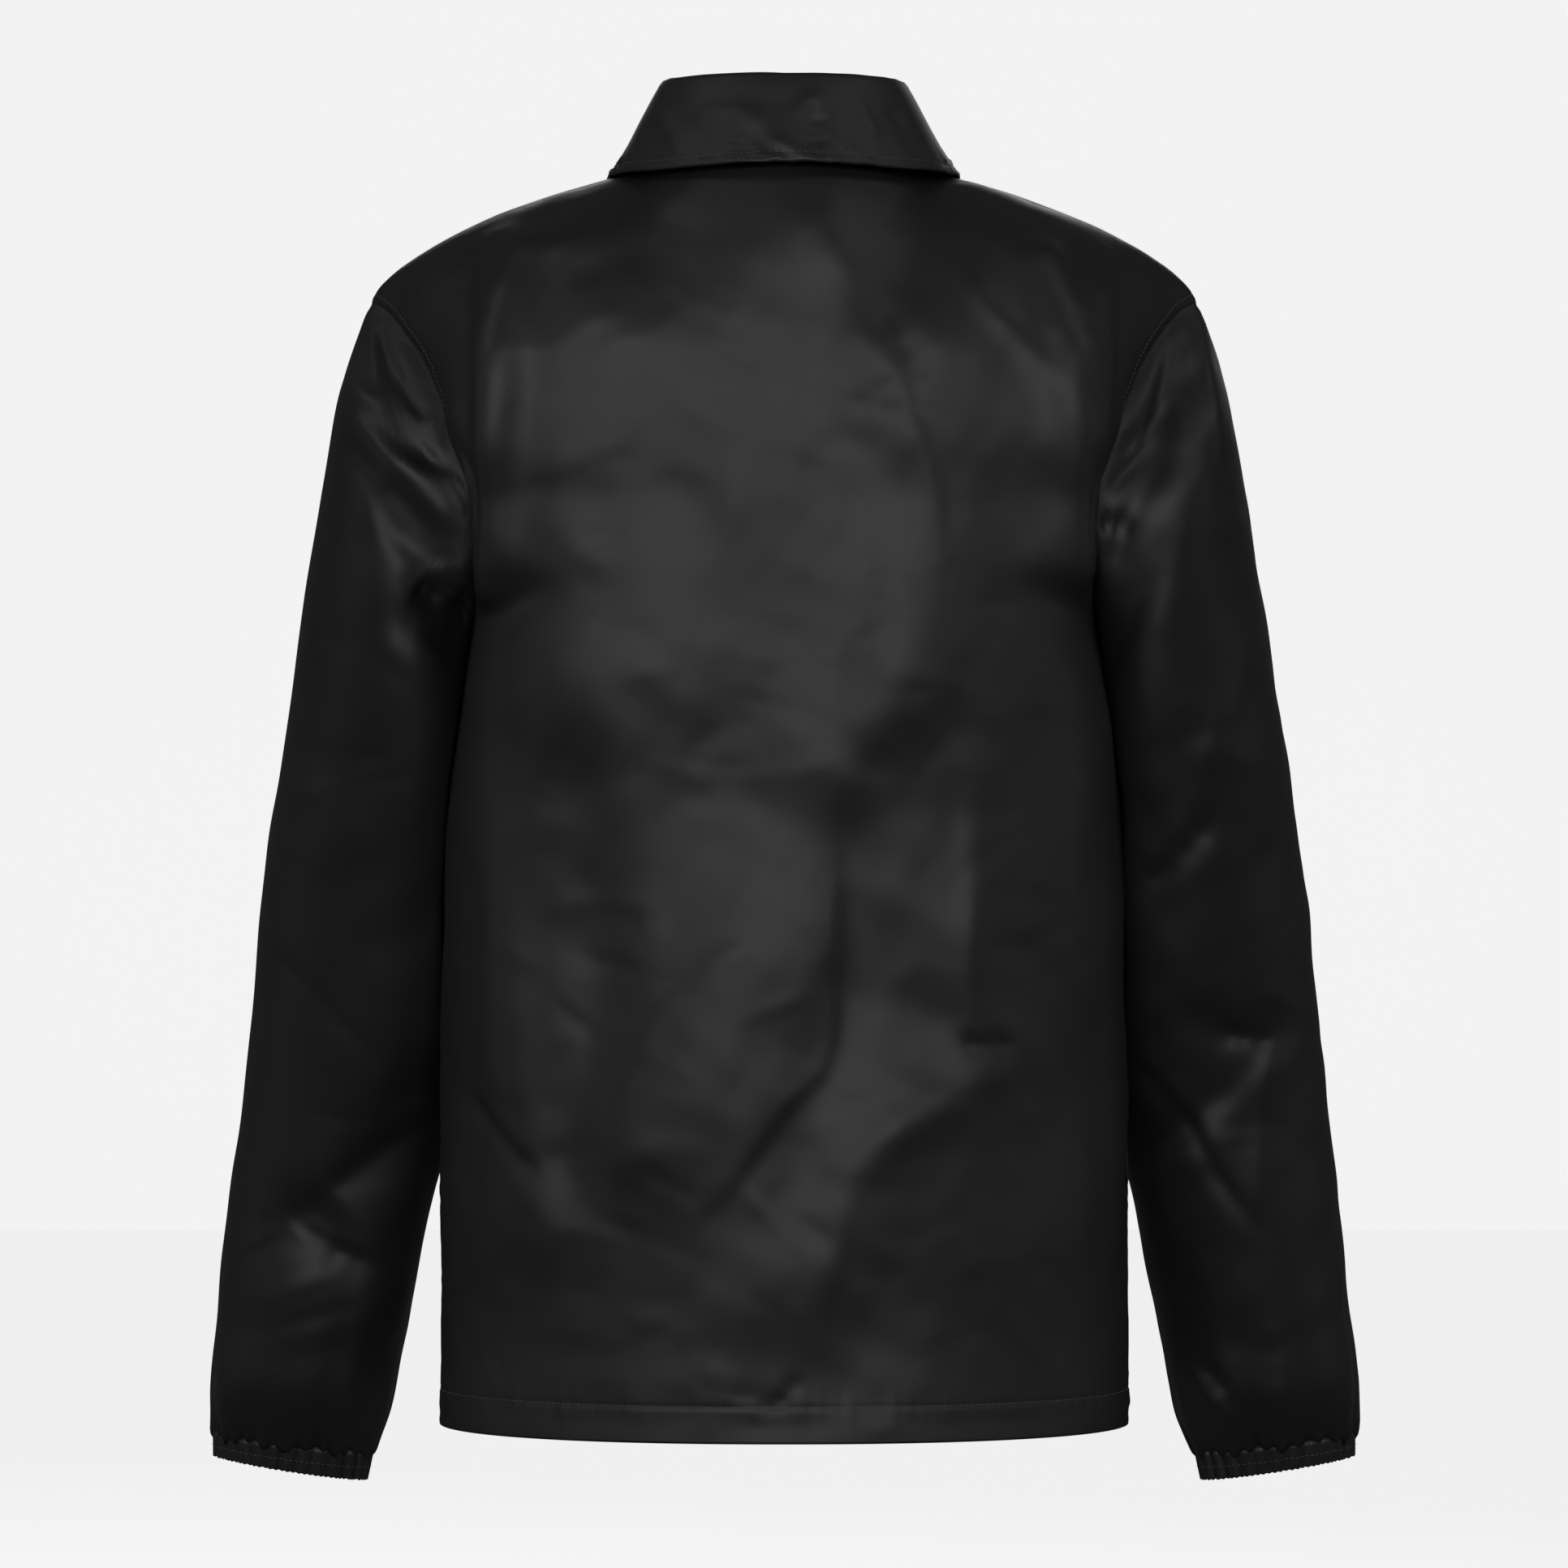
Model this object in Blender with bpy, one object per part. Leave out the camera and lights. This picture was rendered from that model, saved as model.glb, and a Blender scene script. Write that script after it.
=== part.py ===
"""Coach jacket in its worn form, with nobody inside it.

One back, two fronts that overlap and close with snaps, two set-in sleeves with gathered
elastic cuffs, and a fold-over collar. Metres, +Z up, front towards -Y. The origin is the
middle of the neck at shoulder height, where the wearer's shoulders carry the jacket.
"""

import math
from collections import namedtuple

import bmesh
import bpy
import numpy as np
from mathutils import Vector
from mathutils.bvhtree import BVHTree

# Cloth and seams
WALL = 0.002
SEAM_GAP = 0.0003
OVERLAP_ACROSS = 0.072
OVERLAP_HALF = 0.022
OVERLAP_STEP = WALL + 0.0006
OVERLAP_BLEND = 0.030
BODY_CLEARANCE = 0.0034
CLEARANCE_REACH = 0.035

# Body sizes read from the photograph's outline and the size chart of such a jacket
HEM_Z = -0.708
UNDERARM = (0.176, -0.006, -0.265)
SHOULDER_TIP = (0.2345, 0.0, -0.0725)
NECK_SIDE = (0.080, 0.005, 0.002)
NECK_BACK = (0.0, 0.072, 0.012)
NECK_FRONT = (0.0, -0.088, -0.078)

# The shoulder seam between the neck side and the shoulder tip
SHOULDER_LINE = ((0.104, -0.0050), (0.129, -0.0122), (0.154, -0.0213), (0.176, -0.0307),
                 (0.1942, -0.0400), (0.2095, -0.0490), (0.2222, -0.0582), (0.2310, -0.0674))

# Level sections, from the hem to the underarm: half width, depth behind and in front of
# the side seam, height, and how square each one is
Level = namedtuple("Level", "z half_width back_depth front_depth squareness")
LEVELS = (
    Level(HEM_Z, 0.1940, 0.140, 0.140, 2.2),
    Level(-0.620, 0.1938, 0.136, 0.138, 2.2),
    Level(-0.530, 0.1932, 0.132, 0.135, 2.25),
    Level(-0.440, 0.1915, 0.128, 0.132, 2.3),
    Level(-0.350, 0.1880, 0.125, 0.130, 2.4),
    Level(UNDERARM[2], UNDERARM[0], 0.123, 0.128, 2.6),
)

# Sections that end on the armhole: centre depth and height, then the armhole point
Arm_row = namedtuple("Arm_row", "centre_y centre_z edge_x edge_y edge_z squareness")
BACK_ARM_ROWS = (
    Arm_row(0.1225, -0.220, 0.171, 0.062, -0.228, 2.9),
    Arm_row(0.1215, -0.175, 0.174, 0.076, -0.187, 3.1),
    Arm_row(0.1185, -0.130, 0.186, 0.068, -0.152, 3.1),
)
FRONT_ARM_ROWS = (
    Arm_row(-0.1275, -0.238, 0.167, -0.048, -0.240, 2.8),
    Arm_row(-0.1235, -0.205, 0.170, -0.062, -0.202, 2.9),
    Arm_row(-0.1175, -0.165, 0.188, -0.058, -0.155, 2.9),
)
HOOP_STEPS = (0.25, 0.5, 0.75)
HOOP_NECK_POWER = 1.5
HOOP_MIDDLE_POWER = 2.3
HOOP_EDGE_POWER = 1.45

# Sleeve rings below the armhole: outer and inner point in the frontal plane, depth of the
# middle, and half depth
Ring = namedtuple("Ring", "outer_x outer_z inner_x inner_z middle_y half_depth")
RINGS = (
    Ring(0.2492, -0.122, 0.1800, -0.279, 0.003, 0.072),
    Ring(0.2602, -0.177, 0.1805, -0.300, -0.003, 0.075),
    Ring(0.2704, -0.233, 0.1800, -0.328, -0.012, 0.074),
    Ring(0.2842, -0.315, 0.1800, -0.368, -0.025, 0.070),
    Ring(0.2960, -0.399, 0.1800, -0.431, -0.040, 0.066),
    Ring(0.3067, -0.484, 0.1860, -0.508, -0.054, 0.062),
    Ring(0.3166, -0.569, 0.2040, -0.590, -0.065, 0.058),
    Ring(0.3256, -0.648, 0.2205, -0.667, -0.073, 0.054),
    Ring(0.3308, -0.696, 0.2300, -0.711, -0.077, 0.049),
    Ring(0.3292, -0.7225, 0.2390, -0.7330, -0.079, 0.030),
)
SLEEVE_SQUARENESS = 2.1
SLEEVE_PUCKERS = 10
SLEEVE_PUCKER_DEPTH = 0.0022
SLEEVE_PUCKER_REACH = 0.12

# Elastic cuff
CUFF_OUTER_DROP = (0.0000, -0.0118)
CUFF_INNER_DROP = (0.0032, -0.0150)
CUFF_GATHERS = 24
CUFF_GATHER_DEPTH = 0.0013

# Collar sections along half the neck seam, from centre back (0) to centre front (1):
# the fold line and the outer edge, each as outward and upward steps from the neck seam
Collar = namedtuple("Collar", "place fold_out fold_up edge_out edge_up edge_aside")
COLLAR = (
    Collar(0.00, 0.003, 0.0345, 0.024, -0.013, 0.000),
    Collar(0.18, 0.000, 0.0365, 0.023, -0.011, 0.000),
    Collar(0.40, -0.0125, 0.0430, 0.0172, 0.001, 0.000),
    Collar(0.55, -0.0125, 0.0415, 0.024, -0.006, 0.000),
    Collar(0.75, -0.006, 0.0370, 0.036, -0.020, 0.006),
    Collar(1.00, 0.003, 0.0270, 0.036, -0.036, 0.050),
)
COLLAR_FOLD_RADIUS = 0.003
COLLAR_FRONT_GAP = 0.003
COLLAR_WALL = 0.0018
COLLAR_CLEARANCE = 0.0056
COLLAR_FALL_START = 6

# Snap caps on the outer front
SNAP_COUNT = 6
SNAP_FIRST_Z = -0.100
SNAP_LAST_Z = -0.645
SNAP_RADIUS = 0.0065
SNAP_HEIGHT = 0.0022

# The largest folds: a path of (x, z) points, a half width and a height (below zero: a trough)
Fold = namedtuple("Fold", "path half_width height")
BACK_FOLDS = (
    Fold(((0.146, -0.050), (0.157, -0.095), (0.161, -0.150), (0.164, -0.235)), 0.013, 0.007),
    Fold(((-0.146, -0.055), (-0.158, -0.100), (-0.162, -0.150), (-0.166, -0.225)), 0.013, 0.006),
    Fold(((-0.022, -0.040), (-0.066, -0.150), (-0.076, -0.250), (-0.040, -0.340)), 0.026, 0.004),
    Fold(((-0.015, -0.340), (0.020, -0.440), (0.075, -0.540)), 0.036, 0.005),
    Fold(((-0.045, -0.340), (-0.040, -0.440), (-0.005, -0.540)), 0.022, -0.004),
    Fold(((0.160, -0.380), (0.148, -0.480), (0.128, -0.590)), 0.020, 0.003),
    Fold(((0.112, -0.350), (0.108, -0.470), (0.118, -0.560)), 0.022, -0.004),
    Fold(((-0.098, -0.340), (-0.106, -0.480)), 0.018, 0.003),
    Fold(((-0.125, -0.495), (-0.065, -0.535), (-0.010, -0.620)), 0.026, 0.003),
)
FRONT_FOLDS = (
    Fold(((0.120, -0.080), (0.150, -0.130), (0.160, -0.190)), 0.020, 0.003),
    Fold(((-0.125, -0.080), (-0.150, -0.140), (-0.158, -0.200)), 0.020, 0.003),
    Fold(((0.070, -0.200), (0.085, -0.360), (0.075, -0.520)), 0.028, 0.004),
    Fold(((-0.080, -0.240), (-0.090, -0.400), (-0.078, -0.580)), 0.030, 0.004),
    Fold(((0.130, -0.320), (0.115, -0.450), (0.125, -0.600)), 0.024, -0.003),
    Fold(((-0.128, -0.300), (-0.122, -0.470), (-0.120, -0.600)), 0.024, -0.003),
)
LEFT_SLEEVE_FOLDS = (
    Fold(((0.236, -0.130), (0.215, -0.165), (0.190, -0.190)), 0.011, 0.004),
    Fold(((0.240, -0.165), (0.218, -0.205), (0.192, -0.222)), 0.012, -0.004),
    Fold(((0.205, -0.255), (0.180, -0.262)), 0.014, -0.005),
    Fold(((0.272, -0.588), (0.235, -0.555), (0.200, -0.520)), 0.020, -0.006),
    Fold(((0.262, -0.620), (0.225, -0.640)), 0.022, 0.003),
)
RIGHT_SLEEVE_FOLDS = (
    Fold(((-0.222, -0.120), (-0.205, -0.165), (-0.182, -0.215)), 0.012, -0.004),
    Fold(((-0.275, -0.488), (-0.235, -0.480)), 0.014, -0.004),
    Fold(((-0.250, -0.500), (-0.205, -0.560)), 0.018, -0.004),
    Fold(((-0.255, -0.330), (-0.235, -0.400), (-0.225, -0.470)), 0.022, 0.003),
)

# Mesh density
BACK_COLUMNS = 14
NECK_COLUMNS_BACK = 5
NECK_COLUMNS_FRONT = 6
SHOULDER_COLUMNS = BACK_COLUMNS - NECK_COLUMNS_BACK
FRONT_COLUMNS = NECK_COLUMNS_FRONT + SHOULDER_COLUMNS
LOWER_ROWS = 13
ARMHOLE_ROWS = 14
SLEEVE_ROWS = 23
SLEEVE_ROW_CROWDING = 0.06
CUFF_ROWS = 2
CUFF_POINTS_PER_GATHER = 3
SNAP_SIDES = 16

FINE = 300
UNDERARM_UP = 0.58
STEP = 0.004
WIDE_STEP = 0.04
MIRROR_X = np.array([-1.0, 1.0, 1.0])
Y_AXIS = np.array([0.0, 1.0, 0.0])

COLOURS = {
    "shell": (0.012, 0.012, 0.013, 0.42, 0.0),
    "snap": (0.020, 0.020, 0.021, 0.35, 0.0),
}


def unit(vectors):
    return vectors / np.maximum(np.linalg.norm(vectors, axis=-1, keepdims=True), 1e-12)


def square_to(vectors, line):
    """Unit vectors square to the line, as close to the given ones as that allows."""
    line = unit(line)
    return unit(vectors - line * (vectors * line).sum(-1, keepdims=True))


def smoothstep(low, high, value):
    t = np.clip((value - low) / (high - low), 0.0, 1.0)
    return t * t * (3.0 - 2.0 * t)


def lengths_along(points):
    """How far along a polyline each of its points is."""
    return np.concatenate([[0.0], np.cumsum(np.linalg.norm(np.diff(points, axis=0), axis=1))])


class Line:
    """A finely divided curve, read at shares of its length."""

    def __init__(self, points):
        self.points = points
        self.shares = lengths_along(points) / lengths_along(points)[-1]

    def at(self, shares):
        return np.stack([np.interp(shares, self.shares, self.points[:, i]) for i in range(3)], axis=-1)


def spline(knots, keys, at, corner=None, sharp=0.0):
    """A smooth curve for each parameter in at, through its own keys: one key for each knot.

    At the knot numbered corner each curve may bend sharply, as far as sharp (0 to 1) says."""
    wide = np.diff(knots)[:, None, None]
    slopes = np.diff(keys, axis=0) / wide
    before, after = wide[:-1], wide[1:]
    smooth = (slopes[:-1] * after + slopes[1:] * before) / (before + after)
    leaving = np.concatenate([slopes[:1], smooth, slopes[-1:]])
    arriving = leaving.copy()
    if corner is not None:
        arriving[corner] += (slopes[corner - 1] - arriving[corner]) * sharp[:, None]
        leaving[corner] += (slopes[corner] - leaving[corner]) * sharp[:, None]
    i = np.clip(np.searchsorted(knots, at, side="right") - 1, 0, len(knots) - 2)
    n = np.arange(len(at))
    gap = wide[i, 0]
    t = (at - knots[i])[:, None] / gap
    return ((2 * t**3 - 3 * t**2 + 1) * keys[i, n] + (t**3 - 2 * t**2 + t) * gap * leaving[i, n]
            + (3 * t**2 - 2 * t**3) * keys[i + 1, n] + (t**3 - t**2) * gap * arriving[i + 1, n])


def curve_through(knots, keys, at):
    """One smooth curve through the keys, read at every parameter in at."""
    return spline(np.asarray(knots), np.repeat(np.asarray(keys)[:, None], len(at), axis=1), np.asarray(at))


def fold_height(points, folds):
    """Height of all folds together at these points, from each point's x and z."""
    place = points[..., [0, 2]]
    total = np.zeros(points.shape[:-1])
    for fold in folds:
        path = np.array(fold.path)
        nearest = np.full(total.shape, 1e9)
        for a, b in zip(path[:-1], path[1:]):
            run = b - a
            t = np.clip(((place - a) @ run) / (run @ run), 0.0, 1.0)
            nearest = np.minimum(nearest, np.linalg.norm(place - a - t[..., None] * run, axis=-1))
        total += fold.height * np.exp(-((nearest / fold.half_width) ** 2))
    return total


def grid_normals(surface, across, up, step):
    """Unit normals of surface(across, up), from small steps inside its range."""
    a0, a1 = across - step, np.minimum(across + step, 1)
    u0, u1 = np.clip(up - STEP, 0, 1), np.clip(up + STEP, 0, 1)
    side = surface(a1, up) - surface(a0, up)
    rise = surface(across, u1) - surface(across, u0)
    return unit(np.cross(side, rise))


class Half_body:
    """The back (sign 1) or front (sign -1) of one side, with x at 0 or more.

    Across goes from the centre line (0) to the side seam and the armhole (1), up from the hem (0)
    to the neck and shoulder seam (1)."""

    def __init__(self, sign):
        self.sign = sign
        self.columns = BACK_COLUMNS if sign > 0 else FRONT_COLUMNS
        neck_columns = NECK_COLUMNS_BACK if sign > 0 else NECK_COLUMNS_FRONT
        self.neck_share = neck_columns / self.columns
        arm_rows = BACK_ARM_ROWS if sign > 0 else FRONT_ARM_ROWS
        self.lines = [Line(self.level_points(level)) for level in LEVELS]
        self.lines += [Line(self.arm_row_points(row)) for row in arm_rows]
        self.neck_line, self.shoulder_line = Line(self.neck_points()), Line(shoulder_points())
        self.underarm = len(LEVELS) - 1
        heights = np.array([level.z for level in LEVELS])
        below = (heights - heights[0]) / (heights[-1] - heights[0]) * UNDERARM_UP
        above = lengths_along(self.key_rows(np.array([0.5]))[self.underarm:, 0])
        self.knots = np.concatenate([below, UNDERARM_UP + above[1:] / above[-2] * (1 - UNDERARM_UP)])

    def level_points(self, level):
        turn = np.linspace(0.0, math.pi / 2, FINE)
        power = 2.0 / level.squareness
        depth = level.back_depth if self.sign > 0 else -level.front_depth
        side_y = UNDERARM[1] * smoothstep(-0.45, UNDERARM[2], level.z)
        x = level.half_width * np.sin(turn) ** power
        y = side_y + (depth - side_y) * np.abs(np.cos(turn)) ** power
        return np.stack([x, y, np.full(FINE, level.z)], axis=-1)

    def arm_row_points(self, row):
        turn = np.linspace(0.0, math.pi / 2, FINE)
        power = 2.0 / row.squareness
        share = np.sin(turn) ** power
        x = row.edge_x * share
        y = row.edge_y + (row.centre_y - row.edge_y) * np.abs(np.cos(turn)) ** power
        z = row.centre_z + (row.edge_z - row.centre_z) * share**2
        return np.stack([x, y, z], axis=-1)

    def neck_points(self):
        turn = np.linspace(0.0, math.pi / 2, FINE)
        neck = NECK_BACK if self.sign > 0 else NECK_FRONT
        x = NECK_SIDE[0] * np.sin(turn)
        y = NECK_SIDE[1] + (neck[1] - NECK_SIDE[1]) * np.cos(turn)
        z = NECK_SIDE[2] + (neck[2] - NECK_SIDE[2]) * np.cos(turn) ** 1.5
        return np.stack([x, y, z], axis=-1)

    def top_row(self, across):
        """The neck seam and then the shoulder seam."""
        share = self.neck_share
        neck = self.neck_line.at(across / share)
        shoulder = self.shoulder_line.at((across - share) / (1.0 - share))
        return np.where((across < share)[:, None], neck, shoulder)

    def key_rows(self, across):
        rows = [line.at(across) for line in self.lines]
        low, top = rows[-1], self.top_row(across)
        power = HOOP_NECK_POWER + (HOOP_MIDDLE_POWER - HOOP_NECK_POWER) * smoothstep(0.1, 0.6, across)
        power = 2.0 / (power + (HOOP_EDGE_POWER - power) * across**3)
        for share in HOOP_STEPS:
            turn = share * math.pi / 2
            flat, rise = math.cos(turn) ** power, math.sin(turn) ** power
            x = low[:, 0] + (top[:, 0] - low[:, 0]) * (1.0 - flat)
            y = top[:, 1] + (low[:, 1] - top[:, 1]) * flat
            z = low[:, 2] + (top[:, 2] - low[:, 2]) * rise
            rows.append(np.stack([x, y, z], axis=-1))
        over = rows[-1].copy()
        over[:, 1] = 2 * top[:, 1] - over[:, 1]
        on_neck = smoothstep(self.neck_share + 0.12, self.neck_share - 0.05, across)[:, None]
        rows += [top, over + (2 * top - rows[-1] - over) * on_neck]
        return np.array(rows)

    def base(self, across, up):
        """Points for matching lists of across and up."""
        sharp = smoothstep(0.6, 1.0, across)
        return spline(self.knots, self.key_rows(across), up, self.underarm, sharp)


def shoulder_points():
    ridge = np.array([NECK_SIDE, *[(x, 0.004, z) for x, z in SHOULDER_LINE], SHOULDER_TIP])
    return curve_through(ridge[:, 0], ridge, np.linspace(ridge[0, 0], ridge[-1, 0], FINE))


def body_half_width(y, z):
    """Half width of the body's level section at this depth and height."""
    heights = [level.z for level in LEVELS]

    def read(name):
        return np.interp(z, heights, [getattr(level, name) for level in LEVELS])

    depth = np.where(y > 0, read("back_depth"), read("front_depth"))
    power = read("squareness")
    return read("half_width") * np.maximum(1 - np.abs(y / depth) ** power, 0.0) ** (1 / power)


class Panel:
    """One half panel with its folds, on the wearer's left (side 1) or right (side -1)."""

    def __init__(self, half, side, folds, overlap=0.0):
        self.half, self.side, self.folds, self.overlap = half, side, folds, overlap

    def base(self, across, up):
        points = self.half.base(np.abs(across), up)
        points[:, 0] *= self.side * np.where(across < 0, -1.0, 1.0)
        return points

    def facing(self, across, up):
        return grid_normals(self.base, across, up, WIDE_STEP) * (-self.side * self.half.sign)

    def surface(self, across, up):
        points = self.base(across, up)
        normals = self.facing(across, up)
        share = smoothstep(0.10, 0.50, np.abs(normals[:, 1]))
        height = fold_height(points, self.folds) * share
        near_centre = smoothstep(OVERLAP_HALF + OVERLAP_BLEND, OVERLAP_HALF, np.abs(points[:, 0]))
        height = height + self.overlap * near_centre
        return points + normals * height[:, None]

    def normals(self, across, up):
        return grid_normals(self.surface, across, up, STEP) * (-self.side * self.half.sign)


def row_places(panel):
    """Up values of the rows: even along the side seam, then even along the armhole."""
    places = []
    for low, high, rows in ((0.0, UNDERARM_UP, LOWER_ROWS), (UNDERARM_UP, 1.0, ARMHOLE_ROWS)):
        fine = np.linspace(low, high, FINE)
        lengths = lengths_along(panel.surface(np.ones(FINE), fine))
        wanted = np.linspace(0.0, lengths[-1], rows + 1)
        places.extend(np.interp(wanted, lengths, fine)[1 if places else 0:])
    return np.array(places)


def panel_grid(panel, strip=()):
    """Middle points and normals of a half panel, rows from the hem up, with its seam edges drawn in.

    The strip holds extra across values, below 0, past the centre line."""
    ups = row_places(panel)
    acrosses = np.concatenate([strip, np.linspace(0.0, 1.0, panel.half.columns + 1)])
    points, normals = [], []
    for up in ups:
        level = np.full(acrosses.shape, up)
        points.append(panel.surface(acrosses, level))
        normals.append(panel.normals(acrosses, level))
    points, normals = np.array(points), np.array(normals)
    half_gap = SEAM_GAP / 2
    back_from_side = unit(points[:LOWER_ROWS + 1, -2] - points[:LOWER_ROWS + 1, -1])
    points[:LOWER_ROWS + 1, -1] += back_from_side * half_gap
    points[-1, -SHOULDER_COLUMNS - 1:, 1] += half_gap * panel.half.sign
    for seam in (normals[:LOWER_ROWS + 1, -1], normals[-1, -SHOULDER_COLUMNS - 1:]):
        seam[:] = square_to(seam, Y_AXIS)
    return points, normals


def wall_mesh(name, middle, normals, closed=False, thickness=WALL):
    """A closed wall around a grid of middle points, half its thickness each way along the normals."""
    outer = middle + normals * thickness / 2
    inner = middle - normals * thickness / 2
    rows, columns = middle.shape[:2]
    mesh = bmesh.new()
    skins = []
    for skin in (outer, inner):
        skins.append([[mesh.verts.new(Vector(p)) for p in row] for row in skin])
    spans = columns if closed else columns - 1
    for r in range(rows - 1):
        for c in range(spans):
            d = (c + 1) % columns
            corners = [(r, c), (r, d), (r + 1, d), (r + 1, c)]
            rising = np.linalg.norm(middle[r, c] - middle[r + 1, d])
            falling = np.linalg.norm(middle[r, d] - middle[r + 1, c])
            first = 0 if rising < falling else 1
            for corner in (first, first + 2):
                triangle = [corners[(corner + i) % 4] for i in range(3)]
                mesh.faces.new([skins[0][i][j] for i, j in triangle])
                mesh.faces.new([skins[1][i][j] for i, j in triangle[::-1]])
    rim = [[(r, c) for c in range(columns)] for r in (0, rows - 1)]
    if closed:
        loops = [row + row[:1] for row in rim]
    else:
        right = [(r, columns - 1) for r in range(1, rows)]
        left = [(r, 0) for r in range(rows - 2, -1, -1)]
        loops = [rim[0] + right + rim[1][-2::-1] + left]
    for loop in loops:
        for (r0, c0), (r1, c1) in zip(loop[:-1], loop[1:]):
            mesh.faces.new([skins[0][r0][c0], skins[1][r0][c0], skins[1][r1][c1], skins[0][r1][c1]])
    bmesh.ops.recalc_face_normals(mesh, faces=mesh.faces)
    data = bpy.data.meshes.new(name)
    mesh.to_mesh(data)
    mesh.free()
    return data


def add_object(name, data, finish):
    for polygon in data.polygons:
        polygon.use_smooth = True
    data.materials.append(material(finish))
    item = bpy.data.objects.new(name, data)
    jacket_collection().objects.link(item)
    return item


def jacket_collection():
    found = bpy.data.collections.get("coach_jacket")
    if found is None:
        found = bpy.data.collections.new("coach_jacket")
        bpy.context.scene.collection.children.link(found)
    return found


def material(name):
    found = bpy.data.materials.get(name)
    if found is None:
        red, green, blue, roughness, metallic = COLOURS[name]
        found = bpy.data.materials.new(name)
        found.use_nodes = True
        shader = found.node_tree.nodes["Principled BSDF"]
        shader.inputs["Base Color"].default_value = (red, green, blue, 1.0)
        shader.inputs["Roughness"].default_value = roughness
        shader.inputs["Metallic"].default_value = metallic
    return found


def make_back(left, right):
    """One panel across both halves, from the wearer's right to the left."""
    left_points, left_normals = panel_grid(left)
    right_points, right_normals = panel_grid(right)
    points = np.concatenate([right_points[:, :0:-1], left_points], axis=1)
    normals = np.concatenate([right_normals[:, :0:-1], left_normals], axis=1)
    centre = right_points.shape[1] - 1
    normals[:, centre] = unit(left_normals[:, 0] + right_normals[:, 0])
    add_object("back", wall_mesh("back", points, normals), "shell")


def make_front(name, panel):
    """A front with the strip that passes the centre line under or over the other front."""
    points, normals = panel_grid(panel, (-OVERLAP_ACROSS, -OVERLAP_ACROSS / 2))
    add_object(name, wall_mesh(name, points, normals), "shell")


def seam_offset(edge, outward, onward):
    """Step from an edge to the wall sewn to it, so that the two walls stay a seam gap apart at any angle."""
    outward, onward = square_to(outward, edge), square_to(onward, edge)
    half_turn = np.arccos(np.clip((outward * onward).sum(-1), -1.0, 1.0)) / 2
    size = SEAM_GAP + WALL * np.sin(half_turn)
    return unit(outward + onward) * size[:, None]


class Sleeve:
    """A sleeve from its armhole (down 0) to the cuff (1). Around 0 is the shoulder tip, 0.5 the underarm."""

    def __init__(self, side, back, front, folds):
        self.side, self.folds = side, folds
        loops = []
        for panel in (back, front):
            fine = np.linspace(UNDERARM_UP, 1.0, FINE)
            loops.append(panel.surface(np.ones(FINE), fine))
        self.back_edge, self.front_edge = Line(loops[0][::-1]), Line(loops[1])
        middle = np.array([0.25, 0.75])
        keys = self.key_rings(middle)
        steps = np.linalg.norm(np.diff(keys, axis=0), axis=2).mean(axis=1)
        reach = np.concatenate([[0.0], np.cumsum(steps)])
        self.knots = reach / reach[-1]

    def armhole(self, around):
        behind = self.back_edge.at(around * 2)
        before = self.front_edge.at(around * 2 - 1)
        return np.where((around < 0.5)[:, None], behind, before)

    def ring(self, row, around):
        turn = 2 * math.pi * around
        power = 2.0 / SLEEVE_SQUARENESS
        outer = np.array([row.outer_x, row.middle_y, row.outer_z])
        inner = np.array([row.inner_x, row.middle_y, row.inner_z])
        across = (outer - inner) / 2
        cosine, sine = np.cos(turn), np.sin(turn)
        wide = np.sign(cosine) * np.abs(cosine) ** power
        deep = np.sign(sine) * np.abs(sine) ** power
        points = (outer + inner) / 2 + wide[:, None] * across
        points[:, 1] += deep * row.half_depth
        points[:, 0] *= self.side
        return points

    def key_rings(self, around):
        return np.array([self.armhole(around)] + [self.ring(row, around) for row in RINGS])

    def base(self, around, down):
        return spline(self.knots, self.key_rings(np.mod(around, 1.0)), down)

    def facing(self, around, down):
        d0, d1 = np.clip(down - STEP, 0, 1), np.clip(down + STEP, 0, 1)
        side = self.base(around + WIDE_STEP / 2, down) - self.base(around - WIDE_STEP / 2, down)
        run = self.base(around, d1) - self.base(around, d0)
        return unit(np.cross(side, run)) * -self.side

    def surface(self, around, down):
        points = self.base(around, down)
        normals = self.facing(around, down)
        behind = smoothstep(0.05, 0.45, normals[:, 1])
        height = fold_height(points, self.folds) * behind * smoothstep(0.0, 0.05, down)
        mirrored = points * MIRROR_X
        other = tuple(Fold([(-x, z - 0.02) for x, z in f.path], f.half_width, f.height) for f in self.folds)
        before = smoothstep(0.05, 0.45, -normals[:, 1])
        height += fold_height(mirrored, other) * before * smoothstep(0.0, 0.05, down)
        puckers = np.cos(2 * math.pi * SLEEVE_PUCKERS * around)
        near_cuff = smoothstep(1.0 - SLEEVE_PUCKER_REACH, 1.0, down)
        height += SLEEVE_PUCKER_DEPTH * puckers * near_cuff
        points = points + normals * height[:, None]
        clear = BODY_CLEARANCE * smoothstep(0.0, CLEARANCE_REACH, down)
        limit = body_half_width(points[:, 1], points[:, 2]) + clear
        share = smoothstep(UNDERARM[2] + 0.030, UNDERARM[2] + 0.005, points[:, 2])
        push = np.maximum(limit - points[:, 0] * self.side, 0.0) * share
        points[:, 0] += push * self.side
        return points

    def normals(self, around, down):
        d0, d1 = np.clip(down - STEP, 0, 1), np.clip(down + STEP, 0, 1)
        side = self.surface(around + STEP, down) - self.surface(around - STEP, down)
        run = self.surface(around, d1) - self.surface(around, d0)
        return unit(np.cross(side, run)) * -self.side


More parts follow.
